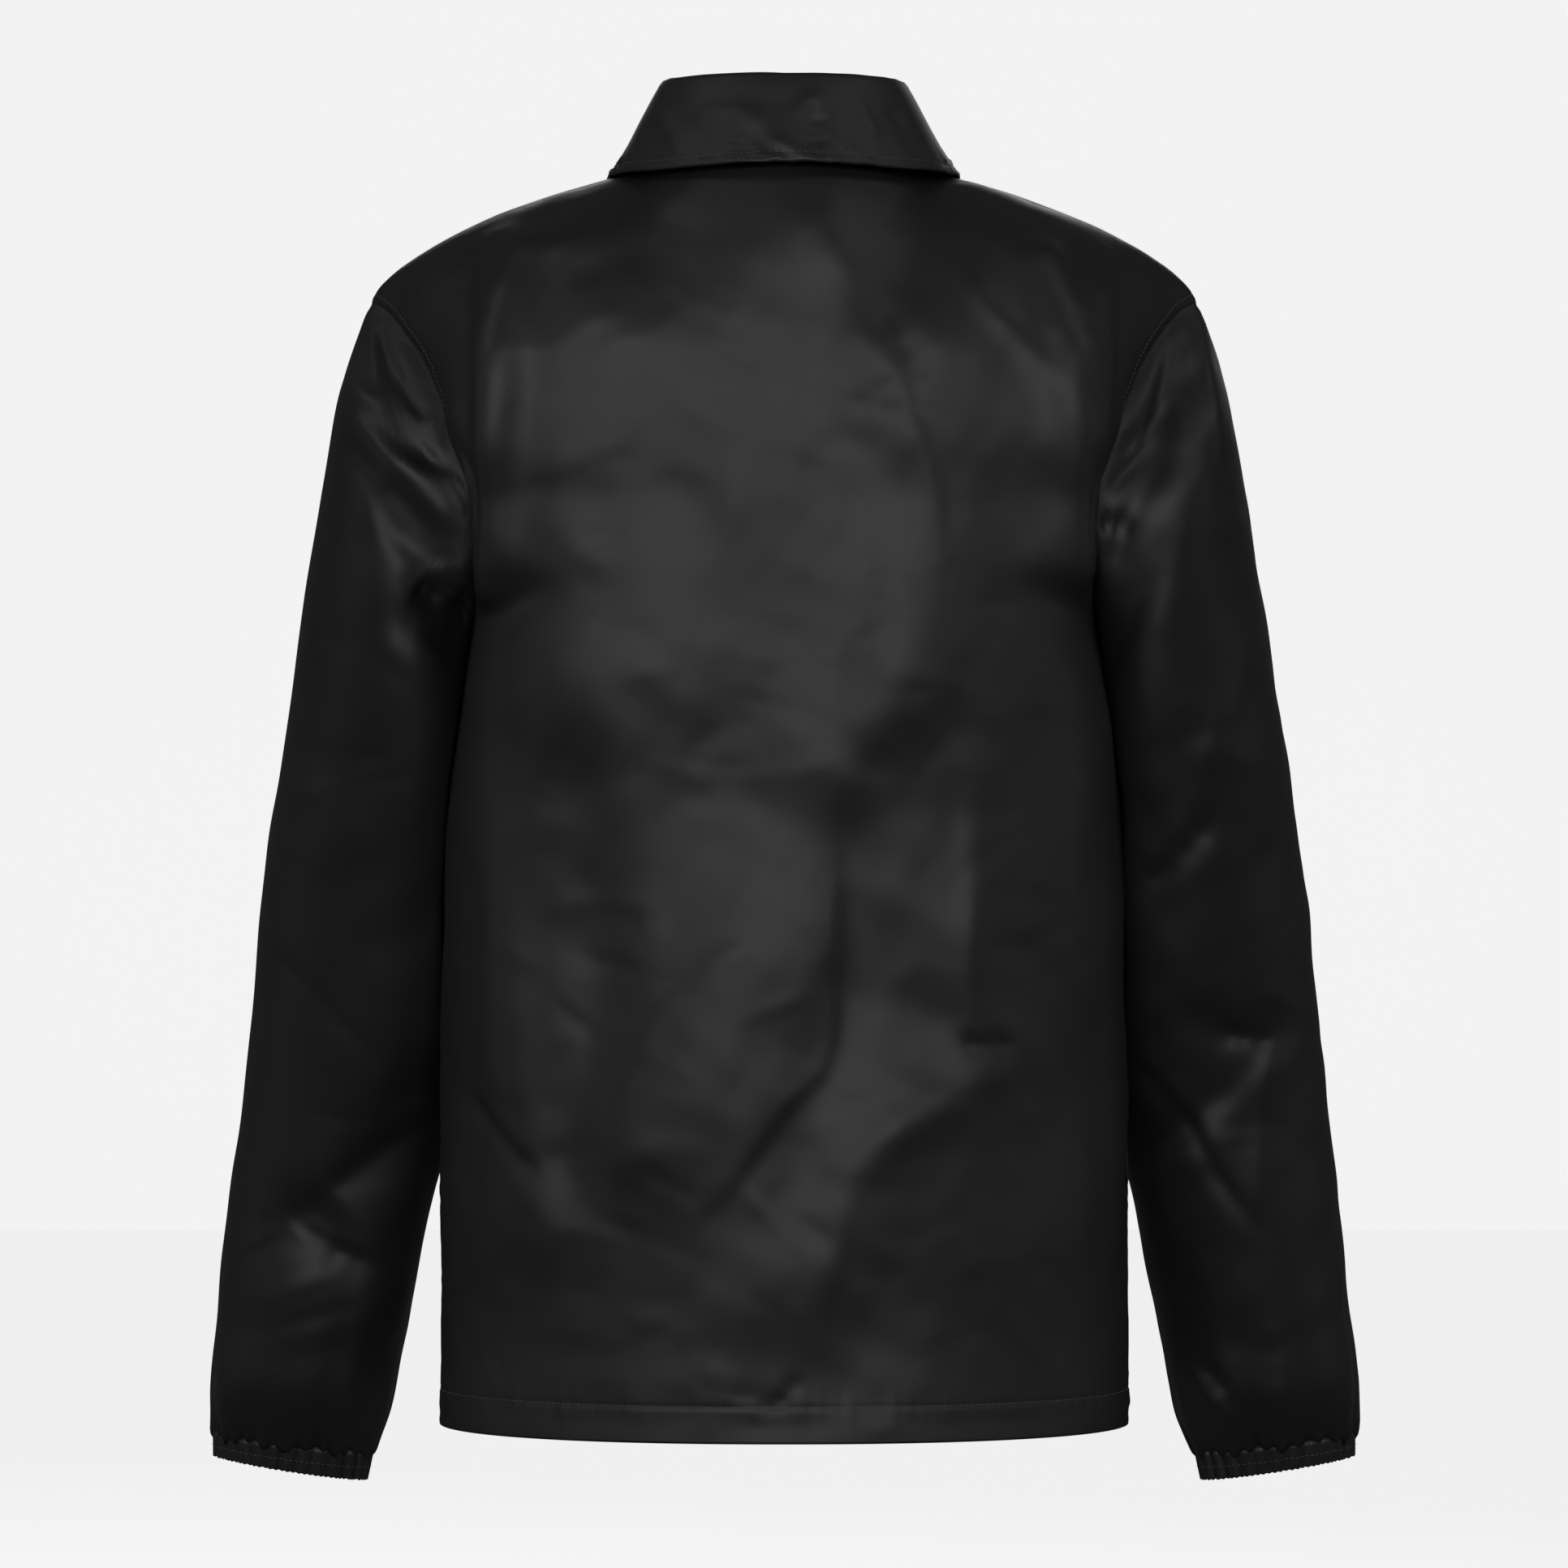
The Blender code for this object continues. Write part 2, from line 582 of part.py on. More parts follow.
def end_frame(side):
    """Middle, across and depth directions, and the downward direction of the sleeve's end ring."""
    row = RINGS[-1]
    outer = np.array([row.outer_x * side, row.middle_y, row.outer_z])
    inner = np.array([row.inner_x * side, row.middle_y, row.inner_z])
    across = unit(outer - inner)
    depth = np.array([0.0, 1.0, 0.0])
    down = np.cross(across, depth)
    down *= -np.sign(down[2])
    return (outer + inner) / 2, across, down


def make_sleeve(name, sleeve, back, front):
    stations = 2 * ARMHOLE_ROWS
    around = np.arange(stations) / stations
    even = np.linspace(0.0, 1.0, SLEEVE_ROWS + 1)
    downs = even - SLEEVE_ROW_CROWDING * np.sin(2 * math.pi * even)
    points, normals = [], []
    for down in downs:
        level = np.full(stations, down)
        points.append(sleeve.surface(around, level))
        normals.append(sleeve.normals(around, level))
    points, normals = np.array(points), np.array(normals)
    edge = np.roll(points[0], -1, axis=0) - np.roll(points[0], 1, axis=0)
    seam_normals = np.concatenate([armhole_normals(back)[::-1], armhole_normals(front)[1:-1]])
    hang_from_seam(points, normals, edge, np.cross(edge, seam_normals) * sleeve.side)
    middle, _, axis = end_frame(sleeve.side)
    points[-1] -= ((points[-1] - middle) @ axis)[:, None] * axis
    normals[-1] = square_to(normals[-1], axis)
    add_object(name, wall_mesh(name, points, normals, closed=True), "shell")


def hang_from_seam(points, normals, edge, outward):
    """Move a wall's first rows off the seam edge, and square its end to the first row's run."""
    offset = seam_offset(edge, outward, points[1] - points[0])
    points[0] += offset
    points[1] += offset / 2
    normals[0] = square_to(normals[0], points[1] - points[0])


def armhole_normals(panel):
    """The panel's normals at its armhole rows, square to the seams at both ends."""
    ups = row_places(panel)[LOWER_ROWS:]
    normals = panel.normals(np.ones(len(ups)), ups)
    normals[[0, -1]] = square_to(normals[[0, -1]], Y_AXIS)
    return normals


def make_cuff(name, side):
    middle, across, down = end_frame(side)
    row = RINGS[-1]
    half_width = math.dist((row.outer_x, row.outer_z), (row.inner_x, row.inner_z)) / 2
    outer_end = np.array([(row.outer_x + CUFF_OUTER_DROP[0]) * side, row.middle_y,
                          row.outer_z + CUFF_OUTER_DROP[1]])
    inner_end = np.array([(row.inner_x + CUFF_INNER_DROP[0]) * side, row.middle_y,
                          row.inner_z + CUFF_INNER_DROP[1]])
    stations = CUFF_GATHERS * CUFF_POINTS_PER_GATHER
    turn = 2 * math.pi * np.arange(stations) / stations
    radial = np.cos(turn)[:, None] * across * row.half_depth + np.sin(turn)[:, None] * (
        np.array([0.0, 1.0, 0.0]) * half_width)
    radial = unit(radial)
    wave = CUFF_GATHER_DEPTH * np.cos(turn * CUFF_GATHERS)
    points, normals = [], []
    for share in np.linspace(0.0, 1.0, CUFF_ROWS + 1):
        centre = middle + down * SEAM_GAP
        centre = centre + ((outer_end + inner_end) / 2 - middle) * share
        lean = unit(across + (unit(outer_end - inner_end) - across) * share)
        wide = half_width + (math.dist(outer_end, inner_end) / 2 - half_width) * share
        ring = centre + np.cos(turn)[:, None] * lean * wide
        ring = ring + np.sin(turn)[:, None] * np.array([0.0, 1.0, 0.0]) * row.half_depth
        points.append(ring + radial * wave[:, None])
        normals.append(radial)
    add_object(name, wall_mesh(name, np.array(points), np.array(normals), closed=True), "shell")


def neck_edge(panel):
    """Points along a half panel's neck seam, from the centre line to the neck side."""
    columns = panel.half.columns - SHOULDER_COLUMNS
    acrosses = np.linspace(0.0, panel.half.neck_share, columns + 1)
    ones = np.ones(columns + 1)
    normals = panel.normals(acrosses, ones)
    normals[-1] = square_to(normals[-1], Y_AXIS)
    return panel.surface(acrosses, ones), normals


def half_collar_seam(back, front):
    """Points and body normals along the neck seam, from centre back to centre front."""
    back_points, back_normals = neck_edge(back)
    front_points, front_normals = neck_edge(front)
    share = COLLAR_FRONT_GAP / abs(front_points[1, 0])
    front_points[0] += (front_points[1] - front_points[0]) * share
    points = np.concatenate([back_points, front_points[-2::-1]])
    return points, np.concatenate([back_normals, front_normals[-2::-1]])


def collar_section(seam, out, row, side):
    """Section of the collar above one point of the neck seam: stand, fold and fall."""
    up = np.array([0.0, 0.0, 1.0])
    radius = COLLAR_FOLD_RADIUS
    fold = seam + out * row.fold_out + up * row.fold_up
    section = [seam, seam + (fold - out * radius - seam) * 0.5, fold - out * radius]
    for turn in (0.33, 0.67, 1.0):
        angle = math.pi * (1 - turn)
        section.append(fold + out * radius * math.cos(angle) + up * radius * math.sin(angle))
    towards_arm = np.array([-out[1], out[0], 0.0]) * side
    edge = seam + out * row.edge_out + up * row.edge_up + towards_arm * row.edge_aside
    start = section[-1]
    for share in (0.33, 0.67, 1.0):
        section.append(start + (edge - start) * share)
    return np.array(section)


def collar_row(place):
    table = np.array(COLLAR)
    return Collar(*curve_through(table[:, 0], table, [place])[0])


def body_tree(panels):
    """The body's middle surface, for finding how far a point is from it."""
    corners, faces = [], []
    for panel in panels:
        points, _ = panel_grid(panel)
        rows, columns = points.shape[:2]
        start = len(corners)
        corners.extend(Vector(p) for p in points.reshape(-1, 3))
        for r in range(rows - 1):
            for c in range(columns - 1):
                face = [start + r * columns + c, start + r * columns + c + 1]
                face += [start + (r + 1) * columns + c + 1, start + (r + 1) * columns + c]
                faces.append(face if panel.side * panel.half.sign < 0 else face[::-1])
    return BVHTree.FromPolygons(corners, faces)


def settle_outside(point, tree, distance):
    """The point, or where it comes to lie if it has to be this far outside the body."""
    nearest, normal, _, _ = tree.find_nearest(Vector(point))
    away = (Vector(point) - nearest).dot(normal)
    return point + np.array(normal) * max(distance - away, 0.0)


def make_collar(sides):
    """The collar, from its left and right pair of back and front panels."""
    tree = body_tree([panel for _, pair in sides for panel in pair])
    halves = []
    for side, (back, front) in sides:
        seam, seam_normals = half_collar_seam(back, front)
        places = lengths_along(seam) / lengths_along(seam)[-1]
        edge = np.gradient(seam, axis=0)
        out = np.stack([edge[:, 1], -edge[:, 0], np.zeros(len(edge))], axis=-1) * -side
        out[0], out[-1] = (0.0, 1.0, 0.0), (0.0, -1.0, 0.0)
        out = unit(out)
        half = []
        for i, place in enumerate(places):
            section = collar_section(seam[i], out[i], collar_row(place), side)
            for k in range(COLLAR_FALL_START, len(section)):
                section[k] = settle_outside(section[k], tree, COLLAR_CLEARANCE)
            half.append(section)
        half = np.array(half).transpose(1, 0, 2)
        halves.append((half, edge, seam_normals))
    left, right = halves
    points = np.concatenate([right[0][:, :0:-1], left[0]], axis=1)
    edge = np.concatenate([-right[1][:0:-1], left[1]])
    seam_normals = np.concatenate([right[2][:0:-1], left[2]])
    normals = unit(np.cross(np.gradient(points, axis=1), np.gradient(points, axis=0)))
    hang_from_seam(points, normals, edge, np.cross(edge, seam_normals))
    add_object("collar", wall_mesh("collar", points, normals, thickness=COLLAR_WALL), "shell")


def make_snaps(panel):
    """Domed caps on the outer front's centre line, all with one mesh."""
    profile = ((0.0, SNAP_HEIGHT), (0.55 * SNAP_RADIUS, 0.93 * SNAP_HEIGHT),
               (0.88 * SNAP_RADIUS, 0.62 * SNAP_HEIGHT), (SNAP_RADIUS, 0.25 * SNAP_HEIGHT), (SNAP_RADIUS, 0.0),
               (0.0, 0.0))
    heights = np.linspace(SNAP_FIRST_Z, SNAP_LAST_Z, SNAP_COUNT)
    fine = np.linspace(0.0, 1.0, FINE)
    line = panel.surface(np.zeros(FINE), fine)
    places = np.interp(heights, line[:, 2], fine)
    points = panel.surface(np.zeros(SNAP_COUNT), places)
    normals = panel.normals(np.zeros(SNAP_COUNT), places)
    for i in range(SNAP_COUNT):
        mesh = bmesh.new()
        ring = [mesh.verts.new((r, 0.0, h)) for r, h in profile]
        edges = [mesh.edges.new(pair) for pair in zip(ring[:-1], ring[1:])]
        bmesh.ops.spin(mesh, geom=ring + edges, angle=2 * math.pi, steps=SNAP_SIDES, axis=(0, 0, 1),
                       cent=(0, 0, 0), use_merge=True)
        bmesh.ops.remove_doubles(mesh, verts=mesh.verts, dist=1e-6)
        bmesh.ops.recalc_face_normals(mesh, faces=mesh.faces)
        data = bpy.data.meshes.new(f"snap_{i + 1}")
        mesh.to_mesh(data)
        mesh.free()
        item = add_object(f"snap_{i + 1}", data, "snap")
        seat = points[i] + normals[i] * (WALL / 2 + SEAM_GAP)
        item.rotation_mode = "QUATERNION"
        item.rotation_quaternion = Vector(normals[i]).to_track_quat("Z", "Y")
        item.location = Vector(seat)


def main():
    for item in list(bpy.data.objects):
        bpy.data.objects.remove(item)
    back_half, front_half = Half_body(1), Half_body(-1)
    back_left, back_right = (Panel(back_half, side, BACK_FOLDS) for side in (1, -1))
    front_left = Panel(front_half, 1, FRONT_FOLDS, overlap=OVERLAP_STEP / 2)
    front_right = Panel(front_half, -1, FRONT_FOLDS, overlap=-OVERLAP_STEP / 2)
    make_back(back_left, back_right)
    make_front("front_left", front_left)
    make_front("front_right", front_right)
    make_sleeve("sleeve_left", Sleeve(1, back_left, front_left, LEFT_SLEEVE_FOLDS), back_left, front_left)
    make_sleeve("sleeve_right", Sleeve(-1, back_right, front_right, RIGHT_SLEEVE_FOLDS), back_right, front_right)
    make_cuff("cuff_left", 1)
    make_cuff("cuff_right", -1)
    make_collar(((1, (back_left, front_left)), (-1, (back_right, front_right))))
    make_snaps(front_left)


main()
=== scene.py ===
"""Looks of a plain black coach jacket in its worn form, with nobody inside it.

Every piece of cloth is a thin shell on the form of its solid, with the photograph's creases
laid on it as soft ridges and troughs. Stitches are small threads sunk into the cloth.
Metres, +Z up, front towards -Y, back towards +Y, the wearer's left arm at +X.
"""

import math
from collections import namedtuple

import bmesh
import bpy
import numpy as np
from mathutils import Matrix, Vector
from mathutils.bvhtree import BVHTree


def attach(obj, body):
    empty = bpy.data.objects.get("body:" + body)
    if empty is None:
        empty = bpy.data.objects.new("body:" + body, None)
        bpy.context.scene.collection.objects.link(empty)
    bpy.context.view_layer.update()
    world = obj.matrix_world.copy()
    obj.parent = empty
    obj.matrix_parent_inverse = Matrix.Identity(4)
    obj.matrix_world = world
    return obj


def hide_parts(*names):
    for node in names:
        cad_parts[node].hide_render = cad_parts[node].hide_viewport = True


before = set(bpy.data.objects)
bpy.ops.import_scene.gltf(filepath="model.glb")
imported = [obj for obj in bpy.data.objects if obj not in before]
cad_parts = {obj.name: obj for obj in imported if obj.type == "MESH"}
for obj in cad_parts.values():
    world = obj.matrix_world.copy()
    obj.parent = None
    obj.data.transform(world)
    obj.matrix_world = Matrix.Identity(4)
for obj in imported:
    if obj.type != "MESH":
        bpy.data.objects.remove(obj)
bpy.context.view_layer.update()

# Cloth and seams
WALL = 0.002
SHELL = 0.0009
SEAM_GAP = 0.0003
OVERLAP_ACROSS = 0.072
OVERLAP_HALF = 0.022
OVERLAP_STEP = WALL + 0.0006
OVERLAP_BLEND = 0.030
BODY_CLEARANCE = 0.0034
CLEARANCE_REACH = 0.035
CLEAR_FROM = 0.030
CLEAR_WHOLE = 0.005

# The form of the solids
HEM_Z = -0.708
UNDERARM = (0.176, -0.006, -0.265)
SHOULDER_TIP = (0.2345, 0.0, -0.0725)
NECK_SIDE = (0.080, 0.005, 0.002)
NECK_BACK = (0.0, 0.072, 0.012)
NECK_FRONT = (0.0, -0.088, -0.078)
SHOULDER_LINE = ((0.104, -0.0050), (0.129, -0.0122), (0.154, -0.0213), (0.176, -0.0307),
                 (0.1942, -0.0400), (0.2095, -0.0490), (0.2222, -0.0582), (0.2310, -0.0674))
Level = namedtuple("Level", "z half_width back_depth front_depth squareness")
LEVELS = (
    Level(HEM_Z, 0.1940, 0.140, 0.140, 2.2),
    Level(-0.620, 0.1938, 0.136, 0.138, 2.2),
    Level(-0.530, 0.1932, 0.132, 0.135, 2.25),
    Level(-0.440, 0.1915, 0.128, 0.132, 2.45),
    Level(-0.350, 0.1880, 0.125, 0.130, 2.75),
    Level(UNDERARM[2], UNDERARM[0], 0.123, 0.128, 3.2),
)
Arm_row = namedtuple("Arm_row", "centre_y centre_z edge_x edge_y edge_z squareness")
BACK_ARM_ROWS = (
    Arm_row(0.1225, -0.220, 0.171, 0.062, -0.228, 2.9),
    Arm_row(0.1215, -0.175, 0.174, 0.076, -0.187, 3.1),
    Arm_row(0.1185, -0.130, 0.186, 0.068, -0.152, 3.1),
)
FRONT_ARM_ROWS = (
    Arm_row(-0.1275, -0.238, 0.167, -0.048, -0.240, 2.8),
    Arm_row(-0.1235, -0.205, 0.170, -0.062, -0.202, 2.9),
    Arm_row(-0.1175, -0.165, 0.188, -0.058, -0.155, 2.9),
)
HOOP_STEPS = (0.25, 0.5, 0.75)
HOOP_NECK_POWER = 1.5
HOOP_MIDDLE_POWER = 2.3
HOOP_EDGE_POWER = 1.45
NECK_SHARE_BACK = 5 / 14
NECK_SHARE_FRONT = 6 / 15
Ring = namedtuple("Ring", "outer_x outer_z inner_x inner_z middle_y half_depth")
RINGS = (
    Ring(0.2492, -0.122, 0.1800, -0.279, 0.003, 0.072),
    Ring(0.2602, -0.177, 0.1805, -0.300, -0.003, 0.075),
    Ring(0.2704, -0.233, 0.1800, -0.328, -0.012, 0.074),
    Ring(0.2842, -0.315, 0.1800, -0.368, -0.025, 0.070),
    Ring(0.2960, -0.399, 0.1800, -0.431, -0.040, 0.066),
    Ring(0.3067, -0.484, 0.1860, -0.508, -0.054, 0.062),
    Ring(0.3166, -0.569, 0.2040, -0.590, -0.065, 0.058),
    Ring(0.3256, -0.648, 0.2205, -0.667, -0.073, 0.054),
    Ring(0.3308, -0.696, 0.2300, -0.711, -0.077, 0.049),
    Ring(0.3292, -0.7225, 0.2390, -0.7330, -0.079, 0.030),
)
SLEEVE_SQUARENESS = 2.1
CUFF_OUTER_DROP = (0.0000, -0.0118)
CUFF_INNER_DROP = (0.0032, -0.0150)
Collar = namedtuple("Collar", "place fold_out fold_up edge_out edge_up edge_aside")
COLLAR = (
    Collar(0.00, 0.003, 0.0350, 0.024, -0.013, 0.000),
    Collar(0.18, 0.000, 0.0372, 0.023, -0.012, 0.000),
    Collar(0.40, -0.0125, 0.0436, 0.0175, -0.006, 0.000),
    Collar(0.55, -0.0125, 0.0418, 0.024, -0.011, 0.000),
    Collar(0.75, -0.006, 0.0370, 0.036, -0.020, 0.006),
    Collar(1.00, 0.003, 0.0270, 0.036, -0.036, 0.050),
)
COLLAR_FOLD_RADIUS = 0.003
COLLAR_FRONT_GAP = 0.003
COLLAR_CLEARANCE = 0.0022
COLLAR_FALL_START = 6
UNDERARM_UP = 0.58
SIDE_TURN_Z = -0.45
HOOP_MIDDLE = (0.1, 0.6)
HOOP_NECK_END = (0.12, -0.05)
FOLD_FACING = (0.10, 0.50)
SLEEVE_FOLD_FACING = (0.05, 0.45)
SLEEVE_FOLD_START = 0.05
SLEEVE_FOLD_DROP = 0.02
FINE = 300
STEP = 0.004
WIDE_STEP = 0.04
MIRROR_X = np.array([-1.0, 1.0, 1.0])
Y_AXIS, Z_AXIS = np.eye(3)[1:]

# The main folds of the solids: a path of (x, z) in metres, a half width and a height
Fold = namedtuple("Fold", "path half_width height")
BACK_FOLDS = (
    Fold(((0.146, -0.050), (0.157, -0.095), (0.161, -0.150), (0.164, -0.235)), 0.013, 0.007),
    Fold(((-0.146, -0.055), (-0.158, -0.100), (-0.162, -0.150), (-0.166, -0.225)), 0.013, 0.006),
    Fold(((-0.022, -0.040), (-0.066, -0.150), (-0.076, -0.250), (-0.040, -0.340)), 0.026, 0.004),
    Fold(((-0.015, -0.340), (0.020, -0.440), (0.075, -0.540)), 0.036, 0.005),
    Fold(((-0.045, -0.340), (-0.040, -0.440), (-0.005, -0.540)), 0.022, -0.004),
    Fold(((0.160, -0.380), (0.148, -0.480), (0.128, -0.590)), 0.020, 0.003),
    Fold(((0.112, -0.350), (0.108, -0.470), (0.118, -0.560)), 0.022, -0.004),
    Fold(((-0.098, -0.340), (-0.106, -0.480)), 0.018, 0.003),
    Fold(((-0.125, -0.495), (-0.065, -0.535), (-0.010, -0.620)), 0.026, 0.003),
)
FRONT_FOLDS = (
    Fold(((0.120, -0.080), (0.150, -0.130), (0.160, -0.190)), 0.020, 0.003),
    Fold(((-0.125, -0.080), (-0.150, -0.140), (-0.158, -0.200)), 0.020, 0.003),
    Fold(((0.070, -0.200), (0.085, -0.360), (0.075, -0.520)), 0.028, 0.004),
    Fold(((-0.080, -0.240), (-0.090, -0.400), (-0.078, -0.580)), 0.030, 0.004),
    Fold(((0.130, -0.320), (0.115, -0.450), (0.125, -0.600)), 0.024, -0.003),
    Fold(((-0.128, -0.300), (-0.122, -0.470), (-0.120, -0.600)), 0.024, -0.003),
)
LEFT_SLEEVE_FOLDS = (
    Fold(((0.236, -0.130), (0.215, -0.165), (0.190, -0.190)), 0.011, 0.004),
    Fold(((0.240, -0.165), (0.218, -0.205), (0.192, -0.222)), 0.012, -0.004),
    Fold(((0.205, -0.255), (0.180, -0.262)), 0.014, -0.005),
    Fold(((0.272, -0.588), (0.235, -0.555), (0.200, -0.520)), 0.020, -0.006),
    Fold(((0.262, -0.620), (0.225, -0.640)), 0.022, 0.003),
)
RIGHT_SLEEVE_FOLDS = (
    Fold(((-0.222, -0.120), (-0.205, -0.165), (-0.182, -0.215)), 0.012, -0.004),
    Fold(((-0.275, -0.488), (-0.235, -0.480)), 0.014, -0.004),
    Fold(((-0.250, -0.500), (-0.205, -0.560)), 0.018, -0.004),
    Fold(((-0.255, -0.330), (-0.235, -0.400), (-0.225, -0.470)), 0.022, 0.003),
)

# Finer creases, all in millimetres: a path of (x, z), the half widths on the side of the
# wearer's left and right arm of a path that runs down, and a height (below zero: a trough)
Crease = namedtuple("Crease", "path left right height")
BACK_CREASES = (
    Crease(((230, -186), (130, -190), (30, -188)), 34, 34, -4.5),
    Crease(((230, -286), (130, -290), (30, -286)), 40, 40, 4.0),
    Crease(((-230, -186), (-130, -190), (-30, -188)), 34, 34, -4.5),
    Crease(((-230, -286), (-130, -290), (-30, -286)), 40, 40, 4.0),
    Crease(((166, -46), (167, -90), (168, -150), (172, -220)), 4, 16, 4.0),
    Crease(((-180, -54), (-178, -100), (-178, -150), (-181, -225)), 16, 4, 4.0),
    Crease(((-22, -38), (-35, -58), (-55, -105), (-70, -150), (-81, -180), (-84, -225)), 16, 7, 1.6),
    Crease(((-40, -66), (-64, -102), (-80, -124)), 12, 10, -2.2),
    Crease(((-92, -56), (-120, -88), (-150, -124)), 8, 9, 1.8),
    Crease(((37, -14), (88, -33), (149, -71)), 10, 12, 1.4),
    Crease(((60, -44), (110, -62), (147, -76)), 9, 9, -1.6),
    Crease(((-27, -382), (-25, -439), (-22, -497), (3, -523), (37, -574)), 22, 5, 2.0),
    Crease(((11, -428), (52, -459), (80, -497), (89, -547), (88, -572)), 6, 18, 1.2),
    Crease(((159, -343), (161, -428), (159, -518), (133, -582)), 8, 14, 1.4),
    Crease(((175, -518), (155, -540), (135, -566)), 6, 4, -2.0),
    Crease(((-100, -343), (-105, -415), (-101, -480)), 8, 10, 1.6),
    Crease(((-96, -488), (-112, -492), (-128, -490)), 4, 6, -1.8),
    Crease(((-125, -497), (-96, -515), (-66, -533), (-27, -569)), 9, 12, 1.8),
    Crease(((-35, -574), (-24, -621), (-15, -664)), 10, 6, 0.6),
    Crease(((8, -690), (-2, -681), (-9, -672)), 4, 5, -1.2),
    Crease(((52, -672), (27, -680), (4, -688)), 5, 6, -0.6),
    Crease(((165, -659), (160, -670), (154, -678)), 4, 4, -0.6),
    Crease(((127, -466), (114, -477), (103, -487)), 5, 4, -0.5),
    Crease(((26, -477), (7, -469), (-15, -461)), 4, 5, 0.5),
    Crease(((80, -556), (63, -565), (47, -574)), 5, 4, -0.5),
    Crease(((11, -569), (-8, -585), (-27, -600)), 5, 5, -0.5),
    Crease(((114, -210), (88, -210)), 5, 4, -0.4),
    Crease(((-42, -225), (-59, -225)), 5, 4, -0.4),
    Crease(((-108, -246), (-126, -246)), 5, 5, -0.4),
    Crease(((124, -270), (141, -286), (160, -302)), 5, 5, -0.5),
    Crease(((-66, -295), (-81, -295)), 4, 5, -0.5),
    Crease(((52, -335), (3, -335)), 5, 4, -0.4),
    Crease(((114, -315), (126, -339), (139, -361)), 6, 8, -0.6),
    Crease(((164, -629), (92, -656), (10, -688)), 10, 12, 0.5),
)
FRONT_CREASES = (
    Crease(((90, -60), (126, -96), (150, -140)), 9, 8, 1.5),
    Crease(((-86, -58), (-120, -96), (-146, -150)), 8, 9, 1.5),
    Crease(((62, -150), (80, -260), (86, -360)), 12, 9, 1.3),
    Crease(((-66, -170), (-82, -300), (-92, -420)), 10, 14, 1.4),
    Crease(((140, -330), (122, -390), (96, -440)), 7, 9, -1.4),
    Crease(((-146, -300), (-120, -350), (-88, -380)), 7, 9, -1.4),
    Crease(((150, -470), (110, -520), (60, -560)), 9, 11, 1.3),
    Crease(((-140, -500), (-104, -545), (-50, -590)), 9, 11, 1.3),
    Crease(((70, -610), (90, -650), (96, -684)), 7, 7, -1.0),
    Crease(((-60, -620), (-78, -655), (-82, -684)), 7, 7, -1.0),
    Crease(((-120, -610), (-132, -650), (-128, -684)), 8, 8, 0.9),
)
LEFT_SLEEVE_CREASES = (
    Crease(((232, -77), (229, -105), (224, -126), (227, -132), (242, -126)), 4, 3, 1.8),
    Crease(((228, -92), (225, -110), (221, -126)), 2, 4, -1.8),
    Crease(((223, -120), (214, -134), (204, -143), (193, -144)), 3, 5, 1.5),
    Crease(((222, -104), (214, -124), (206, -137), (196, -140)), 5, 4, -2.0),
    Crease(((241, -132), (221, -151), (202, -166), (180, -170)), 5, 6, -3.0),
    Crease(((240, -140), (221, -159), (206, -169), (188, -175), (170, -181)), 6, 3, 1.2),
    Crease(((219, -141), (206, -155), (191, -170)), 3, 3, -1.5),
    Crease(((233, -167), (214, -184), (198, -202), (172, -215)), 7, 8, -2.2),
    Crease(((256, -152), (237, -183), (219, -214), (199, -234)), 8, 7, 1.2),
    Crease(((206, -237), (198, -229), (188, -225), (168, -225)), 3, 3, 1.6),
    Crease(((206, -234), (192, -242), (160, -256)), 9, 8, -7.0),
    Crease(((201, -236), (190, -241), (165, -252)), 2, 2, 2.5),
    Crease(((264, -218), (262, -245), (259, -280)), 6, 6, 0.8),
    Crease(((250, -330), (240, -400), (232, -470)), 22, 16, 1.5),
    Crease(((281, -597), (262, -584), (238, -565), (186, -531)), 34, 10, -4.0),
    Crease(((282, -597), (262, -606), (245, -615), (230, -624)), 16, 4, -1.8),
    Crease(((276, -622), (268, -645), (262, -668)), 24, 24, 1.5),
)
RIGHT_SLEEVE_CREASES = (
    Crease(((-234, -80), (-238, -116), (-241, -138), (-245, -164)), 3, 4, 1.8),
    Crease(((-228, -88), (-229, -100), (-228, -112)), 3, 3, 0.9),
    Crease(((-219, -101), (-206, -141), (-178, -166)), 5, 5, -3.6),
    Crease(((-216, -125), (-204, -156), (-176, -186)), 5, 6, -3.4),
    Crease(((-221, -98), (-211, -133), (-184, -158)), 3, 3, 1.0),
    Crease(((-172, -199), (-182, -201), (-194, -202)), 5, 6, -3.0),
    Crease(((-248, -192), (-254, -206)), 8, 8, 1.2),
    Crease(((-256, -265), (-243, -320), (-219, -382)), 10, 10, 1.8),
    Crease(((-243, -362), (-227, -382), (-205, -405)), 7, 8, -2.2),
    Crease(((-278, -493), (-262, -489), (-244, -485)), 5, 7, -2.4),
    Crease(((-262, -476), (-245, -470)), 9, 8, 0.8),
    Crease(((-277, -492), (-272, -533), (-269, -590)), 6, 5, 1.2),
    Crease(((-200, -505), (-228, -536), (-251, -575), (-272, -600)), 6, 4, -1.6),
    Crease(((-190, -567), (-224, -543), (-252, -519), (-277, -493)), 9, 10, -2.4),
    Crease(((-200, -572), (-224, -566), (-248, -558)), 8, 8, 0.8),
    Crease(((-230, -678), (-245, -699), (-259, -717)), 4, 5, 1.8),
    Crease(((-238, -676), (-252, -692), (-266, -712)), 5, 4, -1.6),
    Crease(((-276, -650), (-284, -680), (-282, -712)), 6, 7, 1.4),
)
